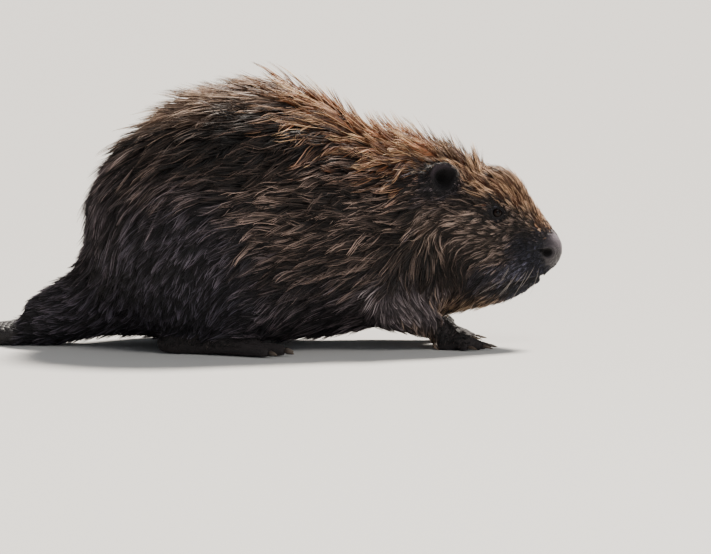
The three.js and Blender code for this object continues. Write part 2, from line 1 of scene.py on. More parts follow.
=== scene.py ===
"""An adult beaver, life size, crouched on all fours with its head lowered: a museum figure.

Metres. +X is forward, +Y is the animal's left, +Z is up and the floor is at Z = 0. The CAD nodes
reach out to the tips of the coat. Here one skin stands for all of the flesh, sunk below them by
the depth of the coat, and the coat is combed over it in closed, tapering locks of hair.
"""

import bmesh
import bpy
import numpy as np
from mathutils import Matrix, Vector
from mathutils.bvhtree import BVHTree
from mathutils.kdtree import KDTree


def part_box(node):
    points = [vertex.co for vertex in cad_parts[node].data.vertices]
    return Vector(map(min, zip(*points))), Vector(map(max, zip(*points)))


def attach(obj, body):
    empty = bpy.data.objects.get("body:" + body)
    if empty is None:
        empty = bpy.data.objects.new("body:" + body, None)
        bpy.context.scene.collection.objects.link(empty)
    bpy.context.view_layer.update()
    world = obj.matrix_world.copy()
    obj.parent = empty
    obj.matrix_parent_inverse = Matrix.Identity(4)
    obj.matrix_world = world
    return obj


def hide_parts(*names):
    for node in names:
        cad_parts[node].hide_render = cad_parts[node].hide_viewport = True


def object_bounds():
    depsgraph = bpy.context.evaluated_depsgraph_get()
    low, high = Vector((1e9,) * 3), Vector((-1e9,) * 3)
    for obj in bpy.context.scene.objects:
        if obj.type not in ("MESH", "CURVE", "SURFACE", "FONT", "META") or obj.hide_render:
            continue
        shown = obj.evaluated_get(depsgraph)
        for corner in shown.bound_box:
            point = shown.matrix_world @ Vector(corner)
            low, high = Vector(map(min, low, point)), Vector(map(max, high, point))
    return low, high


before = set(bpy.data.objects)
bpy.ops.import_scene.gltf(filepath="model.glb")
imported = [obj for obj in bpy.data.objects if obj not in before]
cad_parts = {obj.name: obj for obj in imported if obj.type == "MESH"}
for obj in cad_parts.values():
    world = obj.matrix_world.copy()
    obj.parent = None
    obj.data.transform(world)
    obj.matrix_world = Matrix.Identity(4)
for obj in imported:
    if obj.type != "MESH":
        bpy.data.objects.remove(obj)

SOLID_BOX = [list(corner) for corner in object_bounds()]
MM = 0.001
SEED = 7
SIDES = {"right": -1, "left": 1}  # sign of Y

# ---- places read from the frame


def middle(node):
    low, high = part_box(node)
    return np.array((low + high) / 2)


FRONT_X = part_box("nose")[1].x - 3.5 * MM  # just behind the tip of the nose
EYES = {name: middle(f"eye_{name}") for name in SIDES}
EARS = {name: middle(f"ear_{name}") for name in SIDES}
EYE_RADIUS = (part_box("eye_right")[1].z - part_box("eye_right")[0].z) / 2


def side_view(points):
    """Millimetres back from FRONT_X and up from the floor."""
    return (FRONT_X - points[:, 0]) / MM, points[:, 2] / MM


def gap_to(points, place):
    """Millimetres from points to a place."""
    return np.linalg.norm(points - place, axis=1) / MM


# ---- curves and directions


def unit(v):
    return v / np.maximum(np.linalg.norm(v, axis=-1, keepdims=True), 1e-12)


def ramp(low, high, x):
    """0 where x is at low, rising smoothly to 1 where it is at high."""
    t = np.clip((x - low) / (high - low), 0, 1)
    return t * t * (3 - 2 * t)


def hump(x, middle, width):
    """1 at the middle, falling smoothly to nothing about two widths from it."""
    return np.exp(-(((x - middle) / width) ** 2))


# ---- the lie of the coat

# The coat seen from the side, at places measured in millimetres back from FRONT_X and up from the
# floor: which way the hair lies (forward, up), its length, and its rise, which is how far its tips
# stand off the skin, both in millimetres. Between the places it changes smoothly.
COMB = [
    # back, up, lie (forward, up), length, rise
    (8, 128, (-0.72, 0.70), 3, 0.9),  # top of the nose
    (34, 156, (-0.80, 0.60), 11, 2.8),  # bridge
    (56, 186, (-0.84, 0.54), 19, 5.5),  # forehead
    (64, 200, (-0.80, 0.60), 20, 6.5),  # over the brow
    (84, 214, (-0.45, 0.89), 26, 21.0),  # tuft on the crown
    (105, 218, (-0.94, 0.34), 29, 11.5),  # crown
    (150, 238, (-0.98, 0.10), 34, 14.0),  # nape
    (68, 174, (-0.90, 0.42), 15, 3.6),  # above the eye
    (71, 152, (-0.98, 0.10), 4, 1.0),  # round the eye
    (92, 152, (-1.00, 0.04), 18, 3.2),  # behind the eye
    (105, 180, (-0.96, 0.15), 22, 4.8),  # temple
    (120, 132, (-1.00, 0.00), 28, 5.0),  # cheek
    (90, 112, (-0.98, -0.14), 20, 3.6),  # front of the cheek
    (55, 124, (-0.95, -0.22), 11, 2.2),  # side of the snout
    (25, 108, (-0.90, -0.35), 3, 0.8),  # beside the nostril
    (35, 86, (-0.92, -0.30), 5, 1.3),  # upper lip
    (62, 62, (-0.90, -0.40), 10, 2.6),  # chin
    (110, 50, (-0.75, -0.65), 20, 5.0),  # throat
    (140, 118, (0.30, -0.95), 26, 5.0),  # jowl
    (125, 84, (0.42, -0.90), 24, 5.0),  # foot of the jowl
    (158, 165, (-0.92, -0.35), 24, 6.0),  # behind the ear
    (185, 200, (-0.85, -0.50), 32, 9.5),  # side of the neck
    (185, 135, (-0.96, -0.25), 32, 7.5),  # lower neck
    (160, 62, (-0.60, -0.80), 24, 6.0),  # chest
    (215, 262, (-0.92, -0.35), 40, 12.5),  # withers
    (240, 150, (-0.98, -0.18), 34, 8.0),  # shoulder
    (225, 85, (-0.88, -0.40), 26, 5.5),  # upper foreleg
    (170, 48, (0.80, -0.60), 8, 1.6),  # forearm
    (290, 290, (-0.96, -0.25), 44, 14.0),  # top of the back
    (300, 235, (-0.78, -0.62), 40, 11.0),  # upper flank
    (390, 290, (-0.90, -0.42), 44, 14.0),  # loins
    (400, 230, (-0.72, -0.70), 38, 10.5),  # side of the loins
    (310, 165, (-0.99, -0.10), 36, 8.0),  # flank
    (390, 185, (-0.97, -0.24), 34, 8.0),  # flank above the haunch
    (300, 80, (-0.96, -0.24), 28, 6.0),  # side of the belly
    (420, 125, (-0.62, -0.78), 15, 3.4),  # haunch
    (420, 50, (-0.35, -0.93), 12, 2.6),  # knee
    (350, 20, (-1.00, 0.00), 20, 5.0),  # belly
    (490, 235, (-0.60, -0.80), 36, 11.0),  # rump
    (535, 150, (-0.35, -0.94), 28, 7.5),  # back of the rump
    (520, 60, (-0.70, -0.70), 20, 5.0),  # foot of the rump
    (580, 40, (-1.00, -0.10), 14, 3.5),  # root of the tail
]
COMB_REACH = 0.34  # of the distance to the nearest place: places about that near share the rule
COMB_BLEND = 6  # added to that, in millimetres
COMBED_AT_ONCE = 20000


def comb(points):
    """Lie, length and rise of the coat at points on the body, from COMB's places."""
    table = np.array([[b, u, f, z, length, rise] for b, u, (f, z), length, rise in COMB], float)
    seen = np.stack(side_view(points), 1)
    out = np.empty((len(points), 4))
    for start in range(0, len(points), COMBED_AT_ONCE):
        part = slice(start, start + COMBED_AT_ONCE)
        gap = np.linalg.norm(seen[part, None] - table[None, :, :2], axis=2)
        weight = np.exp(-gap / (COMB_BLEND + COMB_REACH * gap.min(1, keepdims=True)))
        out[part] = weight @ table[:, 2:] / weight.sum(1, keepdims=True)
    lie = np.stack([out[:, 0], np.zeros(len(points)), out[:, 1]], 1)
    return lie, out[:, 2] * MM, out[:, 3] * MM


# ---- meshes and arrays


def arrays_of(mesh):
    """Vertices and triangles of a Blender mesh."""
    points = np.empty(len(mesh.vertices) * 3, np.float32)
    mesh.vertices.foreach_get("co", points)
    mesh.calc_loop_triangles()
    faces = np.empty(len(mesh.loop_triangles) * 3, np.int32)
    mesh.loop_triangles.foreach_get("vertices", faces)
    return points.reshape(-1, 3).astype(float), faces.reshape(-1, 3)


def node_arrays(name):
    """A CAD node's vertices, each one once, and its triangles."""
    points, faces = arrays_of(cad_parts[name].data)
    _, first, back = np.unique(np.round(points, 6), axis=0, return_index=True, return_inverse=True)
    return points[first], back.reshape(-1)[faces]


def vertex_normals(points, faces):
    a, b, c = (points[faces[:, n]] for n in range(3))
    normal = np.cross(b - a, c - a)
    total = np.zeros_like(points)
    for corner in range(3):
        for axis in range(3):
            total[:, axis] += np.bincount(faces[:, corner], normal[:, axis], len(points))
    return unit(total)


class Neighbours:
    """Averages over the vertices joined to each vertex by an edge."""

    def __init__(self, points, faces):
        edges = np.concatenate([faces[:, [0, 1]], faces[:, [1, 2]], faces[:, [2, 0]]])
        edges = np.unique(np.sort(edges, axis=1), axis=0)
        self.ends = np.concatenate([edges[:, 0], edges[:, 1]])
        self.others = np.concatenate([edges[:, 1], edges[:, 0]])
        self.count = len(points)
        self.degree = np.maximum(np.bincount(self.ends, minlength=self.count), 1)

    def mean(self, values):
        if values.ndim == 1:
            return np.bincount(self.ends, values[self.others], self.count) / self.degree
        return np.stack([self.mean(values[:, n]) for n in range(values.shape[1])], 1)

    def blur(self, values, turns, strength=0.6):
        for _ in range(turns):
            rate = strength if values.ndim == 1 else np.broadcast_to(strength, self.count)[:, None]
            values = values + rate * (self.mean(values) - values)
        return values


def placed(name, data):
    """An object of the scene that holds some data."""
    obj = bpy.data.objects.new(name, data)
    bpy.context.scene.collection.objects.link(obj)
    return obj


def mesh_object(name, points, faces):
    """An object from arrays. faces is an array of polygons that all have the same corners."""
    mesh = bpy.data.meshes.new(name)
    corners = faces.shape[1]
    mesh.vertices.add(len(points))
    mesh.vertices.foreach_set("co", points.astype(np.float32).ravel())
    mesh.loops.add(faces.size)
    mesh.loops.foreach_set("vertex_index", faces.astype(np.int32).ravel())
    mesh.polygons.add(len(faces))
    starts = np.arange(len(faces), dtype=np.int32) * corners
    mesh.polygons.foreach_set("loop_start", starts)
    mesh.update(calc_edges=True)
    mesh.polygons.foreach_set("use_smooth", np.ones(len(faces), bool))
    return placed(name, mesh)


def piece(name, points, faces, shade, material):
    """A piece of the animal, with a colour at each vertex for its material to read."""
    obj = mesh_object(name, points, faces)
    layer = obj.data.color_attributes.new("markings", "FLOAT_COLOR", "POINT")
    layer.data.foreach_set("color", np.insert(shade, 3, 1.0, axis=1).astype(np.float32).ravel())
    obj.data.materials.append(material)
    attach(obj, "root")
    return obj


# ---- the skin

GAP_FILL = 0.9 * MM  # each node is grown by this, so that neighbours overlap
VOXEL = 2.6 * MM
SMOOTHED = 158 * MM**2  # turns of blurring, times the area of a voxel
FLESH = [name for name in sorted(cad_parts) if "claw" not in name]
LABELLED = {  # how the names of the nodes behind each label start
    "bare": ("nose", "ear", "hind_foot", "forepaw", "tail", "eye"),
    "ear": "ear",
    "nose": "nose",
    "foot": ("hind_foot", "forepaw"),
    "tail": "tail",
    "head": ("head", "jaw", "nose", "ear", "eye"),
}
FURRED = "tail_root"  # no label holds for it
SOLE = 0.3 * MM  # the lowest that the skin reaches


def flesh_arrays():
    """The flesh nodes' vertices and triangles, and the node that each triangle belongs to."""
    points, faces, owner = [], [], []
    start = 0
    for index, name in enumerate(FLESH):
        node_points, node_faces = node_arrays(name)
        points.append(node_points)
        faces.append(node_faces + start)
        owner.append(np.full(len(node_faces), index))
        start += len(node_points)
    return map(np.concatenate, (points, faces, owner))


def remeshed(points, faces):
    """The outer surface of overlapping closed meshes, in even cells."""
    rough = mesh_object("rough", points, faces)
    modifier = rough.modifiers.new("voxels", "REMESH")
    modifier.mode = "VOXEL"
    modifier.voxel_size = VOXEL
    modifier.adaptivity = 0
    evaluated = rough.evaluated_get(bpy.context.evaluated_depsgraph_get())
    result = arrays_of(evaluated.to_mesh())
    evaluated.to_mesh_clear()
    bpy.data.objects.remove(rough)
    return result


def nearest(tree, points):
    """Nearest places on a tree's surface, and their triangles."""
    found = [tree.find_nearest(p) for p in points.tolist()]
    return np.array([f[0] for f in found]), np.array([f[2] for f in found])


def tree_of(points, faces):
    return BVHTree.FromPolygons(points.tolist(), faces.tolist(), all_triangles=True)


def base_skin():
    """The flesh nodes as one smooth surface, and each vertex's share of the nodes near it."""
    cad, cad_faces, owner = flesh_arrays()
    points, faces = remeshed(cad + GAP_FILL * vertex_normals(cad, cad_faces), cad_faces)
    near = Neighbours(points, faces)
    _, triangle = nearest(tree_of(cad, cad_faces), points)
    node = owner[triangle]

    labels = {}
    for key, starts in LABELLED.items():
        held = [name.startswith(starts) and name != FURRED for name in FLESH]
        labels[key] = near.blur(np.array(held, float)[node], 6)
    fine = np.clip(labels["ear"] + labels["foot"] + 0.6 * labels["nose"], 0, 1)
    points = near.blur(points, round(SMOOTHED / VOXEL**2), 0.55 * (1 - 0.94 * fine))

    # below the CAD surface by the depth of the coat
    outward = unit(near.blur(vertex_normals(points, faces), 10))
    depth = near.blur(comb(points)[2] * (1 - labels["bare"]), 8)
    points = near.blur(points - outward * depth[:, None], 5, 0.5 * (1 - fine))
    return points, faces, labels


def refined(points, faces, labels, chosen):
    """Chosen triangles cut into four, and their neighbours cut to match."""
    corners = np.stack([faces, np.roll(faces, -1, axis=1)], 2)
    keys = np.sort(corners.reshape(-1, 2), axis=1)
    edges, edge_of = np.unique(keys, axis=0, return_inverse=True)
    edge_of = edge_of.reshape(-1, 3)
    cut = np.zeros(len(edges), bool)
    cut[edge_of[chosen]] = True
    new_index = np.full(len(edges), -1)
    new_index[cut] = len(points) + np.arange(cut.sum())
    ends = edges[cut]
    points = np.concatenate([points, points[ends].mean(1)])
    labels = {key: np.concatenate([v, v[ends].mean(1)]) for key, v in labels.items()}
    marks = cut[edge_of]
    count = marks.sum(1)
    parts = [faces[count == 0]]

    def add(*triangles):
        parts.extend(np.stack(corners, 1) for corners in triangles)

    a, b, c = faces[count == 3].T
    ab, bc, ca = new_index[edge_of[count == 3]].T
    add((a, ab, ca), (ab, b, bc), (ca, bc, c), (ab, bc, ca))
    for turn in range(3):
        order = (np.arange(3) + turn) % 3
        one = (count == 1) & marks[:, order[0]]
        a, b, c = faces[one][:, order].T
        ab = new_index[edge_of[one][:, order[0]]]
        add((a, ab, c), (ab, b, c))
        two = (count == 2) & ~marks[:, order[2]]
        a, b, c = faces[two][:, order].T
        ab, bc = new_index[edge_of[two][:, order[:2]]].T
        add((ab, b, bc), (a, ab, bc), (a, bc, c))
    return points, np.concatenate(parts), labels


# the lids
GAZE = (0.22, 0.95, 0.06)  # the way the left eye looks
LID_CUTS = (16, 12, 8.5)  # millimetres from an eye: nearer triangles are cut into four
LID_RADII = (5.7 * MM, 4.5 * MM)  # half the opening between the lids, along and up
LID_THICKNESS = 1.2 * MM
LID_BLEND = 1.2 * MM  # how softly the lids run into the face
FACE_MOST = 4.2 * MM  # the furthest that the face round an eye lies outward of its middle
LID_FOLDS = (  # depth, place and width on the scale of the opening, and the heights it fades over
    (0.55 * MM, 1.75, 0.16, (-2 * MM, 2 * MM)),
    (0.40 * MM, 1.62, 0.14, (1 * MM, -2 * MM)),
)
BROW = (0.9 * MM, 9 * MM)  # how far it stands out, and its place above the eye
SOCKET_DEPTH = 4.5 * MM


def eye_axes(side):
    """Outward, forward and upward directions of an eye, square to each other."""
    outward = unit(np.array(GAZE) * (1, SIDES[side], 1))
    upward = unit(np.array([0, 0, 1]) - outward * outward[2])
    return outward, np.cross(upward, outward) * -SIDES[side], upward


def eye_frame(side, points):
    """Places about an eye: forward, upward and outward from its middle."""
    outward, forward, upward = eye_axes(side)
    offset = points - EYES[side]
    return offset @ forward, offset @ upward, offset @ outward


def quadratic(u, v):
    """The terms of a curved sheet over a plane."""
    return np.stack([np.ones_like(u), u, v, u * u, u * v, v * v], 1)


def lidded(points, faces, labels, side):
    """Lids wrapped over an eyeball, with a fold round them and a brow above."""
    for reach in LID_CUTS:
        chosen = (gap_to(points, EYES[side])[faces] < reach).all(1)
        points, faces, labels = refined(points, faces, labels, chosen)
    about = ramp(17, 9, gap_to(points, EYES[side]))
    points = Neighbours(points, faces).blur(points, 5, 0.5 * about)
    x, z, height = eye_frame(side, points)
    spread = np.hypot(x, z)
    local = (spread < 15 * MM) & (height > -3 * MM)
    ring = local & (spread > 11 * MM)
    fit, *_ = np.linalg.lstsq(quadratic(x[ring], z[ring]), height[ring], rcond=None)
    ground = np.minimum(quadratic(x, z) @ fit, FACE_MOST)
    dome = np.sqrt(np.maximum((EYE_RADIUS + LID_THICKNESS) ** 2 - spread**2, 0))
    over = dome - ground
    target = ground + (over + np.sqrt(over**2 + LID_BLEND**2)) / 2
    narrow = 1 - 0.28 * np.clip(x / LID_RADII[0], -0.5, 1.2)  # towards the inner corner
    oval = np.hypot(x / LID_RADII[0], (z + 0.08 * x) / (LID_RADII[1] * narrow))
    for depth, place, width, fade in LID_FOLDS:
        target -= depth * hump(oval, place, width) * ramp(*fade, z)
    target += BROW[0] * hump(z, BROW[1], 3 * MM) * hump(x, 0, 9 * MM)
    target -= SOCKET_DEPTH * ramp(1.06, 0.86, oval)
    share = ramp(14 * MM, 9.5 * MM, spread) * local
    points = points + eye_axes(side)[0] * ((target - height) * share)[:, None]
    labels["lid"] = labels.get("lid", 0) + ramp(2.1, 1.2, oval) * local
    labels["socket"] = labels.get("socket", 0) + ramp(1.12, 0.98, oval) * local
    return points, faces, labels


def line_gap(back, up, line):
    """Distance in the side view to a broken line, and which side of it: above is positive."""
    best = np.full(len(back), 1e9)
    above = np.zeros(len(back))
    for (b0, u0), (b1, u1) in zip(line, line[1:]):
        run, climb = b1 - b0, u1 - u0
        t = np.clip(((back - b0) * run + (up - u0) * climb) / (run**2 + climb**2), 0, 1)
        gap = np.hypot(back - b0 - t * run, up - u0 - t * climb)
        above = np.where(gap < best, np.sign(up - u0 - t * climb), above)
        best = np.minimum(best, gap)
    return best, above


# the snout, in millimetres in the side view: places are back and up
SNOUT_CUTS = (62, 34)  # back: nearer triangles are cut into four
MOUTH_LINE = ((8, 82), (30, 78), (94, 63))
MOUTH_DEPTH = 2.4
# ovals: middle and half sizes
LIP_PAD = (36, 92, 15, 10)
NOSE_PAD = (6, 111, 12.5, 19.5)
NOSTRIL = (14, 108.5, 6.0, 4.9)
NOSTRIL_SLIT = (20.3, 111.1, 4.8, 2.1)
NOSTRIL_DEPTH, SLIT_DEPTH = 5.5, 2.0
SEPTUM = 5 * MM  # from the middle plane to a nostril


def oval_gap(back, up, oval):
    """Distance in the side view from an oval's middle: 1 is on its edge."""
    mid_back, mid_up, half_back, half_up = oval
    return np.hypot((back - mid_back) / half_back, (up - mid_up) / half_up)


def nose_pad(points):
    """1 on the bare pad of the nose, 0 away from it."""
    return ramp(1.42, 0.78, oval_gap(*side_view(points), NOSE_PAD))


def snout_details(points, faces, labels):
    """Nostrils, the cleft below the nose, the mouth and the pads that carry the whiskers."""
    for reach in SNOUT_CUTS:
        back, up = side_view(points)
        gap, _ = line_gap(back, up, MOUTH_LINE)
        zone = ((back < reach) & (up < 140) & (up > 60)) | ((gap < reach / 8) & (back < 96))
        zone &= labels["head"] > 0.3
        points, faces, labels = refined(points, faces, labels, zone[faces].all(1))
    near = Neighbours(points, faces)
    back, up = side_view(points)
    zone = labels["head"] * ramp(75, 55, back) * (1 - ramp(135, 150, up))
    points = near.blur(points, 4, 0.5 * zone)
    outward = unit(near.blur(vertex_normals(points, faces), 4))
    back, up = side_view(points)
    gap, above = line_gap(back, up, MOUTH_LINE)
    head = ramp(0.2, 0.6, labels["head"])
    push = -MOUTH_DEPTH * hump(gap, 0, 1.7) * (0.35 + 0.65 * ramp(14, 34, back))
    push += 0.9 * hump(gap, 4.5, 3) * (above > 0)  # upper lip
    push += (0.6 + 2.2 * ramp(36, 20, back)) * hump(gap, 4, 3) * (above < 0)  # lower lip
    push += 1.8 * hump(oval_gap(back, up, LIP_PAD), 0, 1)
    cleft = hump(points[:, 1], 0, 1.3 * MM) * ramp(40, 20, back)
    push -= 1.6 * cleft * ramp(80, 86, up) * ramp(124, 112, up)
    pad = nose_pad(points)
    push += 0.9 * pad - 0.7 * hump(pad, 0.35, 0.25) * (back < 24)
    labels["nostril"] = np.zeros(len(points))
    for side in SIDES.values():
        # a round opening with a slit that runs back and up from it
        inner = 50 * (points[:, 1] * side < SEPTUM)
        hole = oval_gap(back, up, NOSTRIL) + inner
        slit = oval_gap(back, up, NOSTRIL_SLIT) + inner
        push -= NOSTRIL_DEPTH * ramp(1.05, 0.25, hole)
        push -= SLIT_DEPTH * ramp(1.1, 0.4, slit)
        push += 0.5 * hump(hole, 1.4, 0.28) * (slit > 1)  # the flare round it
        labels["nostril"] += ramp(1.2, 0.85, hole) + 0.7 * ramp(1.2, 0.8, slit)
    labels["nostril"] = np.clip(labels["nostril"], 0, 1)
    labels["mouth"] = hump(gap, 0, 1.6) * head
    return points + outward * (push * head * MM)[:, None], faces, labels


# the ears, in millimetres
EAR_AXIS = (0.366, 0.907, 0.208)  # the way the left ear opens
EAR_FOLD, EAR_RIPPLE = 2.6, 1.4  # heights
PASSAGE_DEPTH = 7.5
RIM_WAVE = 1.3


def ear_middle(points):
    """The middle of the ear on each point's own side."""
    return np.where(points[:, 1:2] < 0, EARS["right"], EARS["left"])


def ear_frame(points):
    """About the ear on each point's side: its axis, and places along it, out from it and round."""
    side = np.sign(points[:, 1:2])
    same = np.ones_like(side)
    axis = unit(np.concatenate([same, side, same], 1) * EAR_AXIS)
    offset = points - ear_middle(points)
    depth = (offset * axis).sum(1)
    radial = offset - axis * depth[:, None]
    upward = unit(np.array([0, 0, 1]) - axis * axis[:, 2:])
    ahead = (radial * np.cross(upward, axis)).sum(1) * side[:, 0]
    turn = np.arctan2((radial * upward).sum(1), ahead)
    return axis, depth / MM, np.linalg.norm(radial, axis=1) / MM, turn


def ear_details(points, faces, labels):
    """A passage into each ear, a curled fold in the cup and a wavy, uneven rim."""
    ear = labels["ear"]
    axis, depth, reach, turn = ear_frame(points)
    facing = (vertex_normals(points, faces) * axis).sum(1)
    cup = ear * ramp(0.1, 0.6, facing) * ramp(15, 12, reach)
    fold = hump(reach, 8.5 + 1.5 * np.cos(turn), 1.7) * ramp(-0.3, 0.6, np.cos(turn))
    ripple = hump(reach, 11.5, 1.2) * ramp(0.2, -0.6, np.cos(turn - 0.6))
    push = (EAR_FOLD * fold + EAR_RIPPLE * ripple - PASSAGE_DEPTH * hump(reach, 0, 5.0)) * cup
    push += RIM_WAVE * np.sin(2 * turn + 0.7) * ear * ramp(11, 16, reach)
    labels["passage"] = cup * ramp(11, 5, reach + 3 * fold)
    labels["cup"] = cup
    # the upper rear of each ear's rim is marked to be painted paler, as painted rim light
    upper_rear = ramp(0.1, 0.9, np.cos(turn - 1.2))
    labels["crescent"] = ear * ramp(8.5, 12, reach) * upper_rear
    outward = unit(points - ear_middle(points) - axis * (depth * MM)[:, None])
    bulge = 1.2 * np.cos(turn - 1.7) + 0.7 * np.sin(3 * turn)
    bulge *= ear * ramp(5, 12, reach)
    return points + axis * (push * MM)[:, None] + outward * (bulge * MM)[:, None]


def finished_skin():
    points, faces, labels = base_skin()
    chosen = (labels["ear"] + labels["foot"] > 0.3)[faces].all(1)
    points, faces, labels = refined(points, faces, labels, chosen)
    thin = np.clip(labels["ear"] + labels["foot"], 0, 1)
    points = Neighbours(points, faces).blur(points, 2, 0.5 * thin)
    points = ear_details(points, faces, labels)
    points, faces, labels = snout_details(points, faces, labels)
    for side in SIDES:
        points, faces, labels = lidded(points, faces, labels, side)
    points[:, 2] = np.maximum(points[:, 2], SOLE)
    return points, faces, labels


class Hide:
    """The finished skin as the coat needs it, with the lie of the hair at each triangle."""

    def __init__(self, points, faces, labels):
        self.points, self.faces, self.labels = points, faces, labels
        self.normals = vertex_normals(points, faces)
        near = Neighbours(points, faces)
        soft = unit(near.blur(self.normals, 10))
        lie, self.length, self.rise = comb(points)
        flow = lie - soft * (lie * soft).sum(1, keepdims=True)
        flow = unit(near.blur(flow, 20))
        flow = unit(flow - soft * (flow * soft).sum(1, keepdims=True))
        self.face_flow = unit(flow[faces].mean(1))
        self.face_normal = unit(soft[faces].mean(1))
        self.tree = tree_of(points, faces)

    def at(self, values, triangle):
        return values[self.faces[triangle]].mean(-1)


# ---- markings


def paint(red, green, blue):
    """A colour as seen, 0 to 255, as light."""
    shade = np.array([red, green, blue]) / 255
    return np.where(shade <= 0.04045, shade / 12.92, ((shade + 0.055) / 1.055) ** 2.4)


# each coat: the colour at the roots and at the tips
BROWN = paint(13, 11, 11), paint(150, 128, 117)
PALE = paint(104, 78, 64), paint(255, 222, 194)
# golden and the brighter nape coat stand partly for the coat's red-brown, partly for painted
# sunlight on its top
GOLDEN = paint(64, 30, 17), paint(255, 210, 164)
NAPE = paint(118, 70, 42), paint(255, 216, 168)
RUSSET = paint(36, 22, 17), paint(186, 132, 104)
SOOTY = paint(15, 15, 18), paint(88, 84, 96)
GREYED = paint(14, 11, 10), paint(184, 160, 146)
UMBER = paint(12, 10, 9), paint(72, 60, 55)
MUZZLE = paint(19, 19, 25), paint(52, 52, 64)
LIP = paint(38, 37, 44), paint(104, 102, 118)
FOREARM = paint(60, 53, 55), paint(164, 150, 151)
EAR_FUR = paint(10, 9, 11), paint(32, 27, 30)
EYE_FUR = paint(9, 8, 9), paint(40, 35, 37)
FOOT_FUR = paint(18, 16, 16), paint(66, 58, 56)
THROAT = paint(34, 25, 20), paint(236, 196, 158)
WHISKER = paint(110, 102, 98), paint(165, 155, 146)  # the second is what the tips add
BARE_SKIN = {
    "ear": paint(15, 12, 15),
    "cup": paint(12, 9, 12),
    "foot": paint(46, 41, 41),
    "tail": paint(40, 37, 38),
    "nose": paint(34, 29, 34),
    "lid": paint(15, 12, 14),
}
# painted shade: near black laid into the nostrils, the mouth's line, the eye sockets and the ear
# passages
PAINTED_PIT_SHADE = paint(7, 5, 6)
# painted rim light on the upper rear of the ear's rim
EAR_PAINTED_RIM_LIGHT = paint(48, 39, 46)  # the upper rear of the ear's rim
# painted highlight: the nose pad's colour where it faces up and forward
NOSE_PAINTED_HIGHLIGHT = paint(128, 118, 124)  # where the pad of the nose faces up and forward
CLAW = paint(48, 38, 33), paint(96, 82, 68)  # at the root and the tip
PUPIL = paint(4, 3, 4)
EYE_RINGS = (  # colours round the pupil, and the angles from the gaze over which each takes over
    (paint(24, 17, 15), (17, 21)),  # iris
    (paint(10, 8, 9), (40, 46)),  # its dark rim
    (paint(22, 18, 18), (56, 62)),  # the rest of the ball
)
GOLD_BORDER = (  # back and up
    (330, 300), (297, 278), (240, 240), (182, 212), (136, 204),
    (112, 188), (78, 174), (50, 162), (33, 150), (14, 130),
)
CHEEK_RIDGE = ((160, 144), (146, 139))


def blended(shade, share, colour):
    """A shade at each place, with a share of another colour mixed in."""
    return shade + np.clip(share, 0, 1)[:, None] * (colour - shade)


def markings(points, normals, labels):
    """Colours of the coat at places on the body: at the roots and at the tips of its hair."""
    back, up = side_view(points)
    roots, tips = (np.tile(shade, (len(points), 1)) for shade in BROWN)

    def lay(coat, share):
        nonlocal roots, tips
        roots, tips = blended(roots, share, coat[0]), blended(tips, share, coat[1])

    def spot(*oval):
        return ramp(1.45, 0.65, oval_gap(back, up, oval))

    lay(UMBER, 0.85 * spot(350, 236, 95, 42))  # upper flank
    # painted top light: the coat paler where it faces straight up along the back
    lay(PALE, ramp(0.72, 0.94, normals[:, 2]) * ramp(90, 140, up))  # back
    lay(SOOTY, 0.7 * ramp(440, 520, back) * ramp(280, 200, up))  # rump
    lay(SOOTY, 0.7 * ramp(110, 60, up) * ramp(150, 200, back))  # belly and legs
    lay(SOOTY, 0.9 * spot(425, 92, 90, 98))  # haunch
    lay(GREYED, ramp(190, 145, back) * ramp(180, 145, up))  # side of the head
    lay(UMBER, spot(129, 92, 48, 36))  # jowl
    lay(GREYED, 0.8 * spot(120, 42, 40, 16))
    lay(FOREARM, spot(172, 50, 48, 28))
    # above this border the coat's own red-brown is painted russet, then golden and pale, as
    # painted sunlight on the top of the head, neck and back
    edge, above = line_gap(back, up, GOLD_BORDER)
    into_gold = edge * above / (8 + 10 * ramp(130, 210, back))
    nape = ramp(115, 160, back)
    russet = ramp(-2.3, 0.4, into_gold) * ramp(360, 270, back)
    lay(RUSSET, 0.7 * nape * russet)
    gold = ramp(-0.9, 1.1, into_gold) * ramp(345, 250, back)
    lay(GOLDEN, gold)
    lay(NAPE, gold * nape)
    lay(MUZZLE, ramp(72, 44, back) * ramp(146, 120, up))
    lay(MUZZLE, 0.85 * spot(74, 85, 26, 12))
    lay(LIP, 0.9 * spot(54, 88, 20, 9))
    lay(MUZZLE, 0.9 * ramp(76, 66, up) * ramp(118, 95, back))  # chin
    lay(UMBER, 0.85 * spot(108, 173, 17, 15))  # between the ear and the eye
    lay(UMBER, 0.7 * spot(52, 141, 19, 14))  # in front of the eye
    ridge, _ = line_gap(back, up, CHEEK_RIDGE)
    lay(PALE, 0.45 * hump(ridge, 0, 3.0))
    eye = np.minimum(*(gap_to(points, EYES[side]) for side in SIDES))
    lay(EYE_FUR, ramp(19, 11, eye))
    facing_down = ramp(0.05, -0.45, normals[:, 2])
    lay(THROAT, 0.8 * facing_down * ramp(40, 60, back) * spot(108, 38, 52, 24))
    ear = gap_to(points, ear_middle(points))
    # dark fur round the lids; round each ear it is darker still, painted shade in the hollow that
    # the ear stands in
    lay(SOOTY, labels["lid"] + 0.8 * ramp(36, 24, ear))
    lay(EAR_FUR, ramp(26, 19, ear))
    lay(FOOT_FUR, ramp(0.15, 0.5, labels["foot"]))
    return roots, tips


# ---- the coat

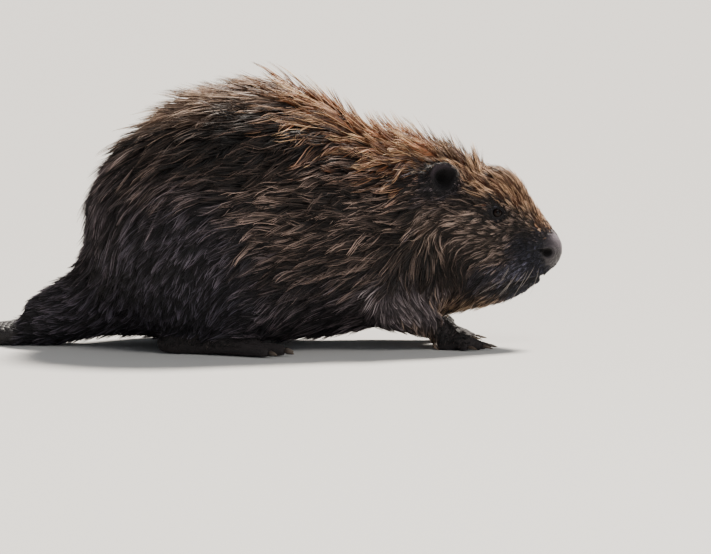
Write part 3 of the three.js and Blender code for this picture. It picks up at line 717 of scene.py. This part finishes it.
PARTS = {"head": (28500, 3), "body": (46500, 4)}  # locks, and the steps that each is drawn in
ZONES = {"head": ("face", "crown"), "body": ("fore", "middle", "rear")}
LEADERS = 0.12  # the share of the locks that lead a clump
UNDER_SHARE, OVER_SHARE = 0.32, 0.19  # short underfur, and long wet hairs on top
LOCK_WIDTH = 0.034  # of its length
WIDEST = 1.4 * MM
WIDTHS = {  # the share of its width that a lock has at each step
    3: np.array([0.8, 1.0, 0.62]),
    4: np.array([0.75, 1.0, 0.82, 0.5]),
}
ROOT_DEPTH = 0.5 * MM  # below the skin
FLOOR_GAP = 0.2 * MM  # between the floor and the lowest hair
PATCH = 0.003  # of the OFBake map, across one lock
BRIGHTEST = 0.8  # that hair has in any channel


def sown(hide, rng, weight, count):
    """Roots scattered over the skin at a density, with the triangle that each stands in."""
    a, b, c = (hide.points[hide.faces[:, n]] for n in range(3))
    area = np.linalg.norm(np.cross(b - a, c - a), axis=1) / 2
    total = np.cumsum(area * weight)
    picks = (np.arange(count) + rng.random(count)) / count * total[-1]
    triangle = np.searchsorted(total, picks)
    u, v = rng.random(count), rng.random(count)
    fold = u + v > 1
    u, v = np.where(fold, 1 - u, u)[:, None], np.where(fold, 1 - v, v)[:, None]
    return a[triangle] + (b - a)[triangle] * u + (c - a)[triangle] * v, triangle


def walked(hide, roots, triangle, reach, turn, steps):
    """Paths over the skin along the lie of the coat: places, and the skin's normals there."""
    places, normals = [roots], [hide.face_normal[triangle]]
    here = roots
    for _ in range(steps):
        along, up = hide.face_flow[triangle], hide.face_normal[triangle]
        heading = along * np.cos(turn)[:, None] + np.cross(up, along) * np.sin(turn)[:, None]
        here, triangle = nearest(hide.tree, here + heading * (reach / steps)[:, None])
        places.append(here)
        normals.append(hide.face_normal[triangle])
    return np.stack(places, 1), np.stack(normals, 1)


def gathered(roots, rng):
    """For each root, the index of the lock that leads its clump."""
    leaders = np.flatnonzero(rng.random(len(roots)) < LEADERS)
    tree = KDTree(len(leaders))
    for order, index in enumerate(leaders.tolist()):
        tree.insert(roots[index], order)
    tree.balance()
    return leaders[np.array([tree.find(p)[1] for p in roots.tolist()])]


def toe_share(points):
    """How far along its foot each point is, from the heel (0) to the tips of the toes (1)."""
    share = np.zeros(len(points))
    for foot in ("hind_foot", "forepaw"):
        for side in SIDES:
            low, high = (np.array(corner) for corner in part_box(f"{foot}_{side}"))
            inside = (points > low - 4 * MM).all(1) & (points < high + 4 * MM).all(1)
            share = np.where(inside, (points[:, 0] - low[0]) / (high[0] - low[0]), share)
    return np.clip(share, 0, 1)


def coat_room(hide):
    """The share of its full length that the coat has at each vertex, and where it grows."""
    points, labels = hide.points, hide.labels
    back, up = side_view(points)
    away = unit(points - ear_middle(points))
    shell = labels["ear"] * ramp(0.1, 0.5, (away * hide.normals).sum(1))
    bare = labels["bare"] - labels["nose"] - shell
    grows = (1 - ramp(0.25, 0.6, bare)) * (1 - nose_pad(points))
    instep = ramp(0.75, 0.30, toe_share(points)) * ramp(-0.1, 0.4, hide.normals[:, 2])
    grows = np.maximum(grows, instep * ramp(0.1, 0.4, labels["foot"]))
    room = (1 - 0.72 * ramp(0.05, 0.7, labels["foot"])) * (1 - 0.55 * labels["ear"])
    for side in SIDES:
        gap = gap_to(points, EYES[side])
        room *= 0.3 + 0.7 * ramp(8, 22, gap)
        grows *= ramp(7.4, 8.4, gap)
        room *= 0.22 + 0.78 * ramp(18, 42, gap_to(points, EARS[side]))
    gap, _ = line_gap(back, up, MOUTH_LINE)
    grows *= np.where(labels["head"] > 0.3, ramp(1.6, 3.2, gap), 1)
    return room, np.clip(grows * (1 - labels["nostril"]), 0, 1)


def over_eye(rings):
    """Which locks cross an eye's opening."""
    crossing = np.zeros(rings.shape[:2], bool)
    for side in SIDES:
        x, z, height = eye_frame(side, rings)
        spread = np.hypot(x / LID_RADII[0], z / LID_RADII[1])
        crossing |= (spread < 1.2) & (height > 0) & (height < 20 * MM)
    return crossing.any(1)


def grown_coat(hide, part):
    """The locks of one part: rings of places, the skin's normals, widths, colours and roots."""
    count, steps = PARTS[part]
    count = int(count * (1))
    rng = np.random.default_rng([SEED, count])
    room, grows = coat_room(hide)
    length = hide.length * room
    body = 1 - ramp(0.3, 0.7, hide.labels["head"])
    width = np.clip(LOCK_WIDTH * length, (0.6 + 0.4 * body) * MM, WIDEST)
    weight = grows / (np.maximum(length, 5 * MM) * width) ** 0.7
    weight = weight[hide.faces].mean(1) * np.where(hide.face_normal[:, 2] < -0.55, 0.5, 1)
    on_head = hide.labels["head"][hide.faces].mean(1) > 0.5
    roots, triangle = sown(hide, rng, weight * (on_head == (part == "head")), count)
    leader = gathered(roots, rng)
    own, shared = rng.normal(size=(4, count)), rng.normal(size=(5, count))[:, leader]
    kind = rng.random(count)
    under, over = kind < UNDER_SHARE, kind > 1 - OVER_SHARE

    def by_kind(under_value, over_value):
        return np.select([under, over], [under_value, over_value], 1.0)

    stretch = np.clip(1 + 0.14 * own[0] + 0.12 * shared[0], 0.6, 1.4)
    long = hide.at(length, triangle) * stretch * by_kind(0.6, 1.22)
    lift = hide.at(hide.rise * room, triangle)
    spiky = np.clip((lift / MM - 7) / 6, 0, 1)
    vary = (1 + 0.2 * own[1] + (0.25 + 0.45 * spiky) * shared[1]) * by_kind(0.45, 1.2)
    lift = lift * np.clip(vary, 0.2, 2.1) + over * 0.6 * MM
    turn = np.radians(7 * own[2] + (9 + 5 * spiky) * shared[2])
    places, normals = walked(hide, roots, triangle, long, turn, steps)
    s = np.arange(steps + 1) / steps
    rings = places + normals * (lift[:, None] * s**1.15 - ROOT_DEPTH * (s == 0))[..., None]

    # clumps close towards their tips, and wave together
    pull = np.clip(0.74 + 0.16 * shared[3], 0.2, 0.94) * by_kind(0.6, 0.85)
    rings = rings + (rings[leader] - rings) * (pull[:, None] * s**1.1)[..., None]
    across = unit(np.cross(normals[:, 0], unit(rings[:, -1] - rings[:, 0])))
    wave = np.sin(2 * np.pi * (s * 1.1 + shared[4][:, None] * 0.3) + own[3][:, None] * 0.5)
    wave = (wave - wave[:, :1]) * (0.035 * long[:, None]) * s
    rings = rings + across[:, None] * wave[..., None]

    # some clumps are paler, or pale from nearer their roots, above all on the face; the long wet
    # hairs on top are brightest, painted glints of light on wet strands
    face = 1 - hide.at(body, triangle)
    tone = 0.15 * own[0] + (0.25 + 0.2 * face) * shared[2] + (0.5 + 0.25 * face) * over
    tone = np.exp(np.clip(tone, -0.9, 0.9))[:, None]
    reach = (0.8 + 0.25 * face) * shared[0] + 0.3 * own[1] - 1.35 - 0.1 * face
    reach = np.exp(np.clip(reach + (1.4 + 0.2 * face) * over, -2.8, 0.5))
    reach = np.where(under, 0.05, reach)
    drift = (7 * own[:3] + 9 * shared[1:4]).T * MM * (1 - 0.6 * face)[:, None]
    at_root = {key: hide.at(value, triangle) for key, value in hide.labels.items()}
    shade, tips = markings(roots + drift, normals[:, 0], at_root)
    along = reach[:, None] * (0.05 + 0.95 * s**1.3)
    shade = tone[:, None] * (shade[:, None] + (tips - shade)[:, None] * along[..., None])
    coat = {
        "rings": rings,
        "normals": normals,
        "widths": hide.at(width, triangle) * by_kind(2.0, 0.72),
        "colours": shade / np.maximum(shade.max(-1, keepdims=True) / BRIGHTEST, 1),
        "roots": roots,
    }
    clear = ~over_eye(rings)
    return {key: value[clear] for key, value in coat.items()}


def tapering(sides, rings, count):
    """Triangles of closed solids: each has its rings of corners one by one, and then a tip."""
    tip = sides * rings
    faces = [(0, j + 1, j) for j in range(1, sides - 1)]
    for start in range(0, tip, sides):
        for j in range(sides):
            a, b = start + j, start + (j + 1) % sides
            wall = [(a, b, b + sides), (a, b + sides, a + sides)]
            faces += wall if start + sides < tip else [(a, b, tip)]
    starts = np.arange(count) * (tip + 1)
    return (np.array(faces) + starts[:, None, None]).reshape(-1, 3)


def unwrapped(points):
    """Along the body and round it, 0 to 1: the skin opened out like a rolled sheet."""
    low, high = (np.array(corner) for corner in SOLID_BOX)
    core = 0.4 * (low[2] + high[2])  # the height of the line that it is rolled round
    turn = np.arctan2(points[:, 1], core - points[:, 2])
    along = (points[:, 0] - low[0]) / (high[0] - low[0])
    return np.stack([0.01 + 0.97 * along, 0.01 + 0.97 * (0.5 + turn / (2 * np.pi))], 1)


def coat_piece(name, coat, chosen, material):
    rings, normals = coat["rings"][chosen], coat["normals"][chosen]
    count, steps = len(rings), rings.shape[1] - 1
    ahead = np.gradient(rings, axis=1)
    across = unit(np.cross(normals, ahead))
    outward = unit(np.cross(ahead, across))
    half = (coat["widths"][chosen][:, None] * WIDTHS[steps] / 2)[..., None]
    body, side, out = rings[:, :-1], across[:, :-1], outward[:, :-1]
    corners = np.stack([body - side * half, body + side * half, body + out * half * 0.9], 2)
    points = np.concatenate([corners.reshape(count, -1, 3), rings[:, -1:]], 1)
    points[..., 2] = np.maximum(points[..., 2], FLOOR_GAP)
    faces = tapering(3, steps, count)
    shade = coat["colours"][chosen]
    shade = np.concatenate([shade[:, :-1].repeat(3, 1), shade[:, -1:]], 1)
    obj = piece(name, points.reshape(-1, 3), faces, shade.reshape(-1, 3), material)

    across_map = np.tile([-0.5, 0.5, 0.0], steps).tolist() + [0.0]
    along_map = (np.repeat(np.arange(steps), 3) / steps).tolist() + [1.0]
    along_map[2] = -0.2
    patch = np.stack([across_map, along_map], 1) * PATCH
    places = (unwrapped(coat["roots"][chosen])[:, None] + patch[None]).reshape(-1, 2)
    layer = obj.data.uv_layers.new(name="OFBake")
    layer.data.foreach_set("uv", places[faces.reshape(-1)].astype(np.float32).ravel())


def build_coat(hide, material):
    for part, zones in ZONES.items():
        coat = grown_coat(hide, part)
        for side, sign in SIDES.items():
            chosen = np.flatnonzero(coat["roots"][:, 1] * sign > 0)
            chosen = chosen[np.argsort(-coat["roots"][chosen, 0], kind="stable")]
            for zone, locks in zip(zones, np.array_split(chosen, len(zones))):
                coat_piece(f"coat_{zone}_{side}", coat, locks, material)


WHISKERS = 11  # on each side
WHISKER_PAD = (42, 86, 20, 9)  # middle and half sizes, back and up
WHISKER_WIDTH = 0.6 * MM
WHISKER_LENGTHS = (20 * MM, 42 * MM)
WHISKER_STEPS = 4
WHISKER_HEADING = (-0.62, 0.35, -0.60)  # on the left
WHISKER_DROOP = (-0.25, -0.12, -0.2)  # of its length, on the left


def build_whiskers(hide, material):
    """Stiff hairs that bend backwards and down from the upper lip."""
    rng = np.random.default_rng(SEED + 2)
    back, up, half_back, half_up = WHISKER_PAD
    s = np.arange(WHISKER_STEPS + 1)[:, None] / WHISKER_STEPS
    rings, normals, roots = [], [], []
    for side in SIDES.values():
        mirrored = np.array((1, side, 1))
        for _ in range(WHISKERS):
            b, u = back + half_back * rng.uniform(-1, 1), up + half_up * rng.uniform(-1, 1)
            start = Vector((FRONT_X - b * MM, side * 0.2, u * MM))
            hit, normal, _, _ = hide.tree.ray_cast(start, Vector((0, -side, 0)))
            outward = np.array(normal)
            heading = WHISKER_HEADING * mirrored + 0.26 * rng.normal(size=3) + 0.45 * outward
            length = rng.uniform(*WHISKER_LENGTHS)
            droop = WHISKER_DROOP * mirrored * s**2 * length
            rings.append(np.array(hit) - outward * MM + unit(heading) * s * length + droop)
            normals.append(np.tile(unit(outward + [0, 0, 0.3]), (len(s), 1)))
            roots.append(hit)
    count = len(rings)
    whiskers = {
        "rings": np.array(rings),
        "normals": np.array(normals),
        "widths": np.full(count, WHISKER_WIDTH),
        "colours": np.tile(WHISKER[0] + s[None] * WHISKER[1], (count, 1, 1)),
        "roots": np.array(roots),
    }
    coat_piece("whiskers", whiskers, np.arange(count), material)


# ---- materials


class Look:
    """A material, and the nodes that it is wired from."""

    def __init__(self, name):
        self.material = bpy.data.materials.new(name)
        self.material.use_nodes = True
        self.nodes = self.material.node_tree.nodes

    def fill(self, inputs, values):
        """Inputs set to numbers or colours, or linked to the outputs of other nodes."""
        for key, value in values.items():
            if isinstance(value, bpy.types.NodeSocket):
                self.material.node_tree.links.new(value, inputs[key])
            else:
                inputs[key].default_value = value

    def finished(self, values):
        """The material, with its shader's inputs filled."""
        self.fill(self.nodes["Principled BSDF"].inputs, values)
        return self.material

    def node(self, kind, output, values, operation=None):
        node = self.nodes.new(f"ShaderNode{kind}")
        if operation:
            node.operation = operation
        self.fill(node.inputs, values)
        return node.outputs[output]

    def attribute(self, name, output):
        node = self.nodes.new("ShaderNodeAttribute")
        node.attribute_name = name
        return node.outputs[output]

    def texture(self, kind, output, scale, **values):
        """A texture with a number of cells to the metre."""
        place = self.node("TexCoord", "Object", {})
        return self.node(kind, output, {"Vector": place, "Scale": scale, **values})

    def noise(self, scale, detail=3):
        return self.texture("TexNoise", "Fac", scale, Detail=detail, Roughness=0.55)

    def ranged(self, value, low, high):
        return self.node("MapRange", "Result", {"Value": value, "To Min": low, "To Max": high})


MOTTLE, WETNESS = 60, 35  # patches of shade and of gloss, to the metre


def surface(name, roughness, variation, grain, depth, specular=0.5, pebbles=0):
    """A material that carries the markings, with bumps a given number to the metre.

    roughness is a range, or the name of the attribute that holds it.
    """
    look = Look(name)
    shade = look.attribute("markings", "Color")
    mottle = look.ranged(look.noise(MOTTLE), 1 - variation, 1 + variation)
    if isinstance(roughness, str):
        rough = look.attribute(roughness, "Fac")
    else:
        rough = look.ranged(look.noise(WETNESS), *roughness)
    height = look.noise(grain, 4)
    if pebbles:
        cells = look.texture("TexVoronoi", "Distance", pebbles)
        height = look.node("Math", "Value", {0: height, 1: cells}, "SUBTRACT")
    bumps = {"Distance": depth, "Strength": 1.0, "Height": height}
    values = {
        "Base Color": look.node("VectorMath", "Vector", {0: shade, "Scale": mottle}, "SCALE"),
        "Roughness": rough,
        "Normal": look.node("Bump", "Normal", bumps),
        "Specular IOR Level": specular,
    }
    return look.finished(values)


def eye_surface():
    look = Look("eye")
    shade = look.attribute("markings", "Color")
    return look.finished({"Base Color": shade, "Roughness": 0.06, "Specular IOR Level": 0.11})


# ---- pieces

HIDDEN_KEPT = 0.18  # of the skin's triangles under the coat
# the skin takes this share of the coat's colour near its roots: painted shade under the hair
SKIN_PAINTED_SHADE, NEAR_ROOTS = 0.6, 0.06  # of the coat's colour, and of the way up its hair
CORNEA = 0.35 * MM  # how far an eye bulges at its iris


def build_skin(hide, material):
    labels, points = hide.labels, hide.points
    back, up = side_view(points)
    nose, lid = nose_pad(points), np.clip(labels["lid"], 0, 1)
    shade, tips = markings(points, hide.normals, labels)
    # painted shade: the skin darkened to stand for the shade under the coat
    shade = SKIN_PAINTED_SHADE * (shade + (tips - shade) * NEAR_ROOTS)
    for key in ("ear", "cup", "foot", "tail"):
        shade = blended(shade, 1.4 * labels[key], BARE_SKIN[key])
    shade = blended(shade, nose, BARE_SKIN["nose"])
    shade = blended(shade, 1.4 * labels["lid"], BARE_SKIN["lid"])
    # painted highlight on the nose pad, strongest where it faces up and forward
    nose_painted_highlight = ramp(0.2, 1.0, 0.8 * hide.normals[:, 2] + 0.6 * hide.normals[:, 0])
    nose_painted_highlight *= ramp(17, 3, back) * ramp(100, 113, up)
    shade = blended(shade, 0.85 * nose_painted_highlight * nose, NOSE_PAINTED_HIGHLIGHT)
    # painted rim light on the upper rear of each ear's rim
    shade = blended(shade, 0.8 * labels["crescent"], EAR_PAINTED_RIM_LIGHT)
    # painted shade in the nostrils, the mouth's line, the eye sockets and the ear passages; these
    # places are also made rougher
    shaded_pits = labels["nostril"] + 0.8 * labels["mouth"] + labels["socket"] + labels["passage"]
    shaded_pits = np.clip(shaded_pits, 0, 1)
    shade = blended(shade, shaded_pits, PAINTED_PIT_SHADE)
    dull = 0.6 + 0.2 * labels["ear"] + 0.2 * labels["foot"] - 0.27 * nose - 0.08 * lid
    dull = dull + (0.95 - dull) * shaded_pits
    obj = piece("skin", points, hide.faces, shade, material)
    layer = obj.data.attributes.new("dull", "FLOAT", "POINT")
    layer.data.foreach_set("value", dull.astype(np.float32))
    thin_out(obj, hide)
    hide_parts(*[name for name in FLESH if not name.startswith("eye")])


def thin_out(obj, hide):
    """Fewer triangles where the coat hides the skin."""
    labels = hide.labels
    back, _ = side_view(hide.points)
    shown = labels["bare"] + labels["lid"] + labels["mouth"] + ramp(90, 75, back)
    under_coat = shown < 0.05
    group = obj.vertex_groups.new(name="hidden")
    group.add(np.flatnonzero(under_coat).tolist(), 1.0, "REPLACE")
    modifier = obj.modifiers.new("thin", "DECIMATE")
    modifier.ratio = 1 - under_coat[hide.faces].all(1).mean() * (1 - HIDDEN_KEPT)
    modifier.vertex_group = "hidden"
    evaluated = obj.evaluated_get(bpy.context.evaluated_depsgraph_get())
    obj.data = bpy.data.meshes.new_from_object(evaluated)
    obj.modifiers.clear()
    obj.vertex_groups.clear()
    obj.data.polygons.foreach_set("use_smooth", np.ones(len(obj.data.polygons), bool))


def build_eye(side, material):
    """A ball with a black pupil, a dark brown iris that has a darker rim, and a bulge there."""
    mesh = bpy.data.meshes.new("ball")
    shape = bmesh.new()
    bmesh.ops.create_icosphere(shape, subdivisions=5, radius=EYE_RADIUS)
    shape.to_mesh(mesh)
    shape.free()
    points, faces = arrays_of(mesh)
    bpy.data.meshes.remove(mesh)
    facing = unit(points) @ eye_axes(side)[0]
    angle = np.degrees(np.arccos(np.clip(facing, -1, 1)))
    shade = np.tile(PUPIL, (len(points), 1))
    for colour, edge in EYE_RINGS:
        shade = blended(shade, ramp(*edge, angle), colour)
    cornea = CORNEA * ramp(0.55, 0.9, facing)
    points = points + unit(points) * cornea[:, None] + EYES[side]
    obj = piece(f"eyeball_{side}", points, faces, shade, material)
    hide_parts(f"eye_{side}")


def build_claws(material):
    """Each claw node rounded off, and darker towards its root."""
    for name in sorted(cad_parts):
        if "claw" not in name:
            continue
        points, faces = node_arrays(name)
        for _ in range(2):
            points, faces, _ = refined(points, faces, {}, np.arange(len(faces)))
            points = Neighbours(points, faces).blur(points, 2, 0.5)
        along = (points[:, 0] - points[:, 0].min()) / np.ptp(points[:, 0])
        shade = CLAW[0] + along[:, None] * (CLAW[1] - CLAW[0])
        obj = piece(name.replace("claw", "nail"), points, faces, shade, material)
        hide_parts(name)


PLATE_PITCH = (5.6 * MM, 5.0 * MM)  # along the tail and across it
PLATE_SIDES = 6
PLATE_REACH = [0.56 * pitch for pitch in PLATE_PITCH]  # from its middle to its corners
# the tones are painted shade low in the creases between plates and a painted highlight on each
# plate's top
PLATE_RINGS = (  # each ring of corners: its share of that reach, its height and its tone
    (1.0, -0.5 * MM, 0.55),
    (1.0, 0.12 * MM, 1.0),
    (0.62, 0.42 * MM, 1.35),
)
PLATE_TOP = 0.45 * MM
PLATE_TILT = 0.22 * MM  # from its middle to its ends: down in front, as tiles lie


def plate():
    """A plate's corners along the tail, across it and up, the top's middle last; their tones."""
    turn = np.arange(PLATE_SIDES) * 2 * np.pi / PLATE_SIDES
    corners, tones = [], []
    for share, height, tone in PLATE_RINGS:
        along, across = np.cos(turn) * share, np.sin(turn) * share
        up = height - PLATE_TILT * along * (height > 0)
        corners.append(np.stack([along * PLATE_REACH[0], across * PLATE_REACH[1], up], 1))
        tones += [tone] * PLATE_SIDES
    return np.concatenate([*corners, [[0, 0, PLATE_TOP]]]), [*tones, tone]


def build_scales(hide, material):
    """Low horny plates laid like tiles over both faces of the tail."""
    tail = hide.points[hide.labels["tail"] > 0.6]
    line = np.polyfit(tail[:, 0], tail[:, 1], 2)
    low, high = tail[:, 0].min(), tail[:, 0].max()
    half = np.abs(tail[:, 1] - np.polyval(line, tail[:, 0])).max()
    rows, beside = int((high - low) / PLATE_PITCH[0]), int(half / PLATE_PITCH[1]) + 1
    places = [
        (high - row * PLATE_PITCH[0], (column + 0.5 * (row % 2)) * PLATE_PITCH[1])
        for row in range(rows + 1)
        for column in range(-beside, beside + 1)
    ]
    rng = np.random.default_rng(SEED + 1)
    places = np.array(places) + rng.normal(size=(len(places), 2)) * 0.25 * MM
    corners, tones = plate()
    points, shades = [], []
    for x, y in places:
        bend = np.arctan(np.polyval(np.polyder(line), x))
        ahead = np.array([np.cos(bend), np.sin(bend), 0])
        at = Vector((x - y * ahead[1], np.polyval(line, x) + y * ahead[0], 0))
        for sign in (1, -1):
            beam = Vector((0, 0, -sign))
            hit, slope, triangle, _ = hide.tree.ray_cast(at - beam, beam)
            if hit is None or hide.at(hide.labels["tail"], triangle) < 0.75 or abs(slope.z) < 0.35:
                continue
            up = hide.face_normal[triangle]
            along = unit(ahead - up * (ahead @ up))
            size = rng.uniform(0.92, 1.06)
            axes = np.stack([along * size, np.cross(up, along) * size, up])
            points.append(np.array(hit) + corners @ axes)
            shades.append(np.outer(tones, BARE_SKIN["tail"] * rng.uniform(0.75, 1.25)))
    points = np.concatenate(points)
    points[:, 2] = np.maximum(points[:, 2], 0)
    faces = tapering(PLATE_SIDES, len(PLATE_RINGS), len(shades))
    piece("tail_scales", points, faces, np.concatenate(shades), material)


# ---- camera, floor and light

AIM = Vector((0.1997, 0.0, 0.0782))
CAMERA_ELEVATION = 5  # degrees
CAMERA_DISTANCE = 6.8
LENS, SENSOR = 299.4, 36
FLOOR_HALF = 60
FLOOR_COLOUR = (0.62, 0.61, 0.59, 1)
SKY = {"Color": (0.86, 0.91, 0.98, 1), "Strength": 0.22}
LAMPS = (  # name, kind, power, colour, place, and what it is aimed at
    ("key", "AREA", 22, (1, 0.97, 0.93), (0.9, -1.5, 2.2), (0, 0, 0.12)),
    ("top", "SUN", 11, (1, 0.93, 0.84), (0, 0, 0), (-0.34, -0.56, -0.76)),
    ("fill", "AREA", 15, (0.92, 0.96, 1), (1.6, -2.4, 0.5), (0, 0, 0.12)),
)
DISK_SIZE, SUN_WIDTH = 1.2, 12  # metres, degrees


def aimed(obj, heading):
    """Turns a camera or a light, which look down their own -Z, to a heading."""
    obj.rotation_euler = heading.to_track_quat("-Z", "Y").to_euler()


def build_camera():
    data = bpy.data.cameras.new("camera")
    data.lens, data.sensor_width = LENS, SENSOR
    data.clip_end = 200
    camera = placed("camera", data)
    tilt = np.radians(CAMERA_ELEVATION)
    camera.location = AIM + CAMERA_DISTANCE * Vector((0, -np.cos(tilt), np.sin(tilt)))
    aimed(camera, AIM - camera.location)
    bpy.context.scene.camera = camera


def build_floor():
    corners = np.array([(x, y, 0.0) for x, y in ((-1, -1), (1, -1), (1, 1), (-1, 1))])
    floor = mesh_object("floor", corners * FLOOR_HALF, np.array([[0, 1, 2, 3]]))
    material = Look("floor").finished({"Base Color": FLOOR_COLOUR, "Roughness": 0.9})
    floor.data.materials.append(material)


def build_light():
    world = bpy.data.worlds.new("studio")
    bpy.context.scene.world = world
    world.use_nodes = True
    for key, value in SKY.items():
        world.node_tree.nodes["Background"].inputs[key].default_value = value
    for name, kind, power, colour, place, aim in LAMPS:
        data = bpy.data.lights.new(name, kind)
        data.energy, data.color = power, colour
        if kind == "AREA":
            data.shape, data.size = "DISK", DISK_SIZE
        else:
            data.angle = np.radians(SUN_WIDTH)
        light = placed(name, data)
        light.location = place
        aimed(light, Vector(aim) - light.location)


build_camera()
build_floor()
build_light()

hide = Hide(*finished_skin())
fur_material = surface("fur", (0.46, 0.62), 0.10, 900, 0.0002, 0.3)
skin_material = surface("skin", "dull", 0.18, 300, 0.0007, 0.28, pebbles=520)
scale_material = surface("scales", (0.45, 0.65), 0.12, 700, 0.0003)
claw_material = surface("claw", (0.30, 0.45), 0.10, 500, 0.0002)
eye_material = eye_surface()

build_skin(hide, skin_material)
for side in SIDES:
    build_eye(side, eye_material)
build_claws(claw_material)
build_scales(hide, scale_material)
build_coat(hide, fur_material)
build_whiskers(hide, fur_material)
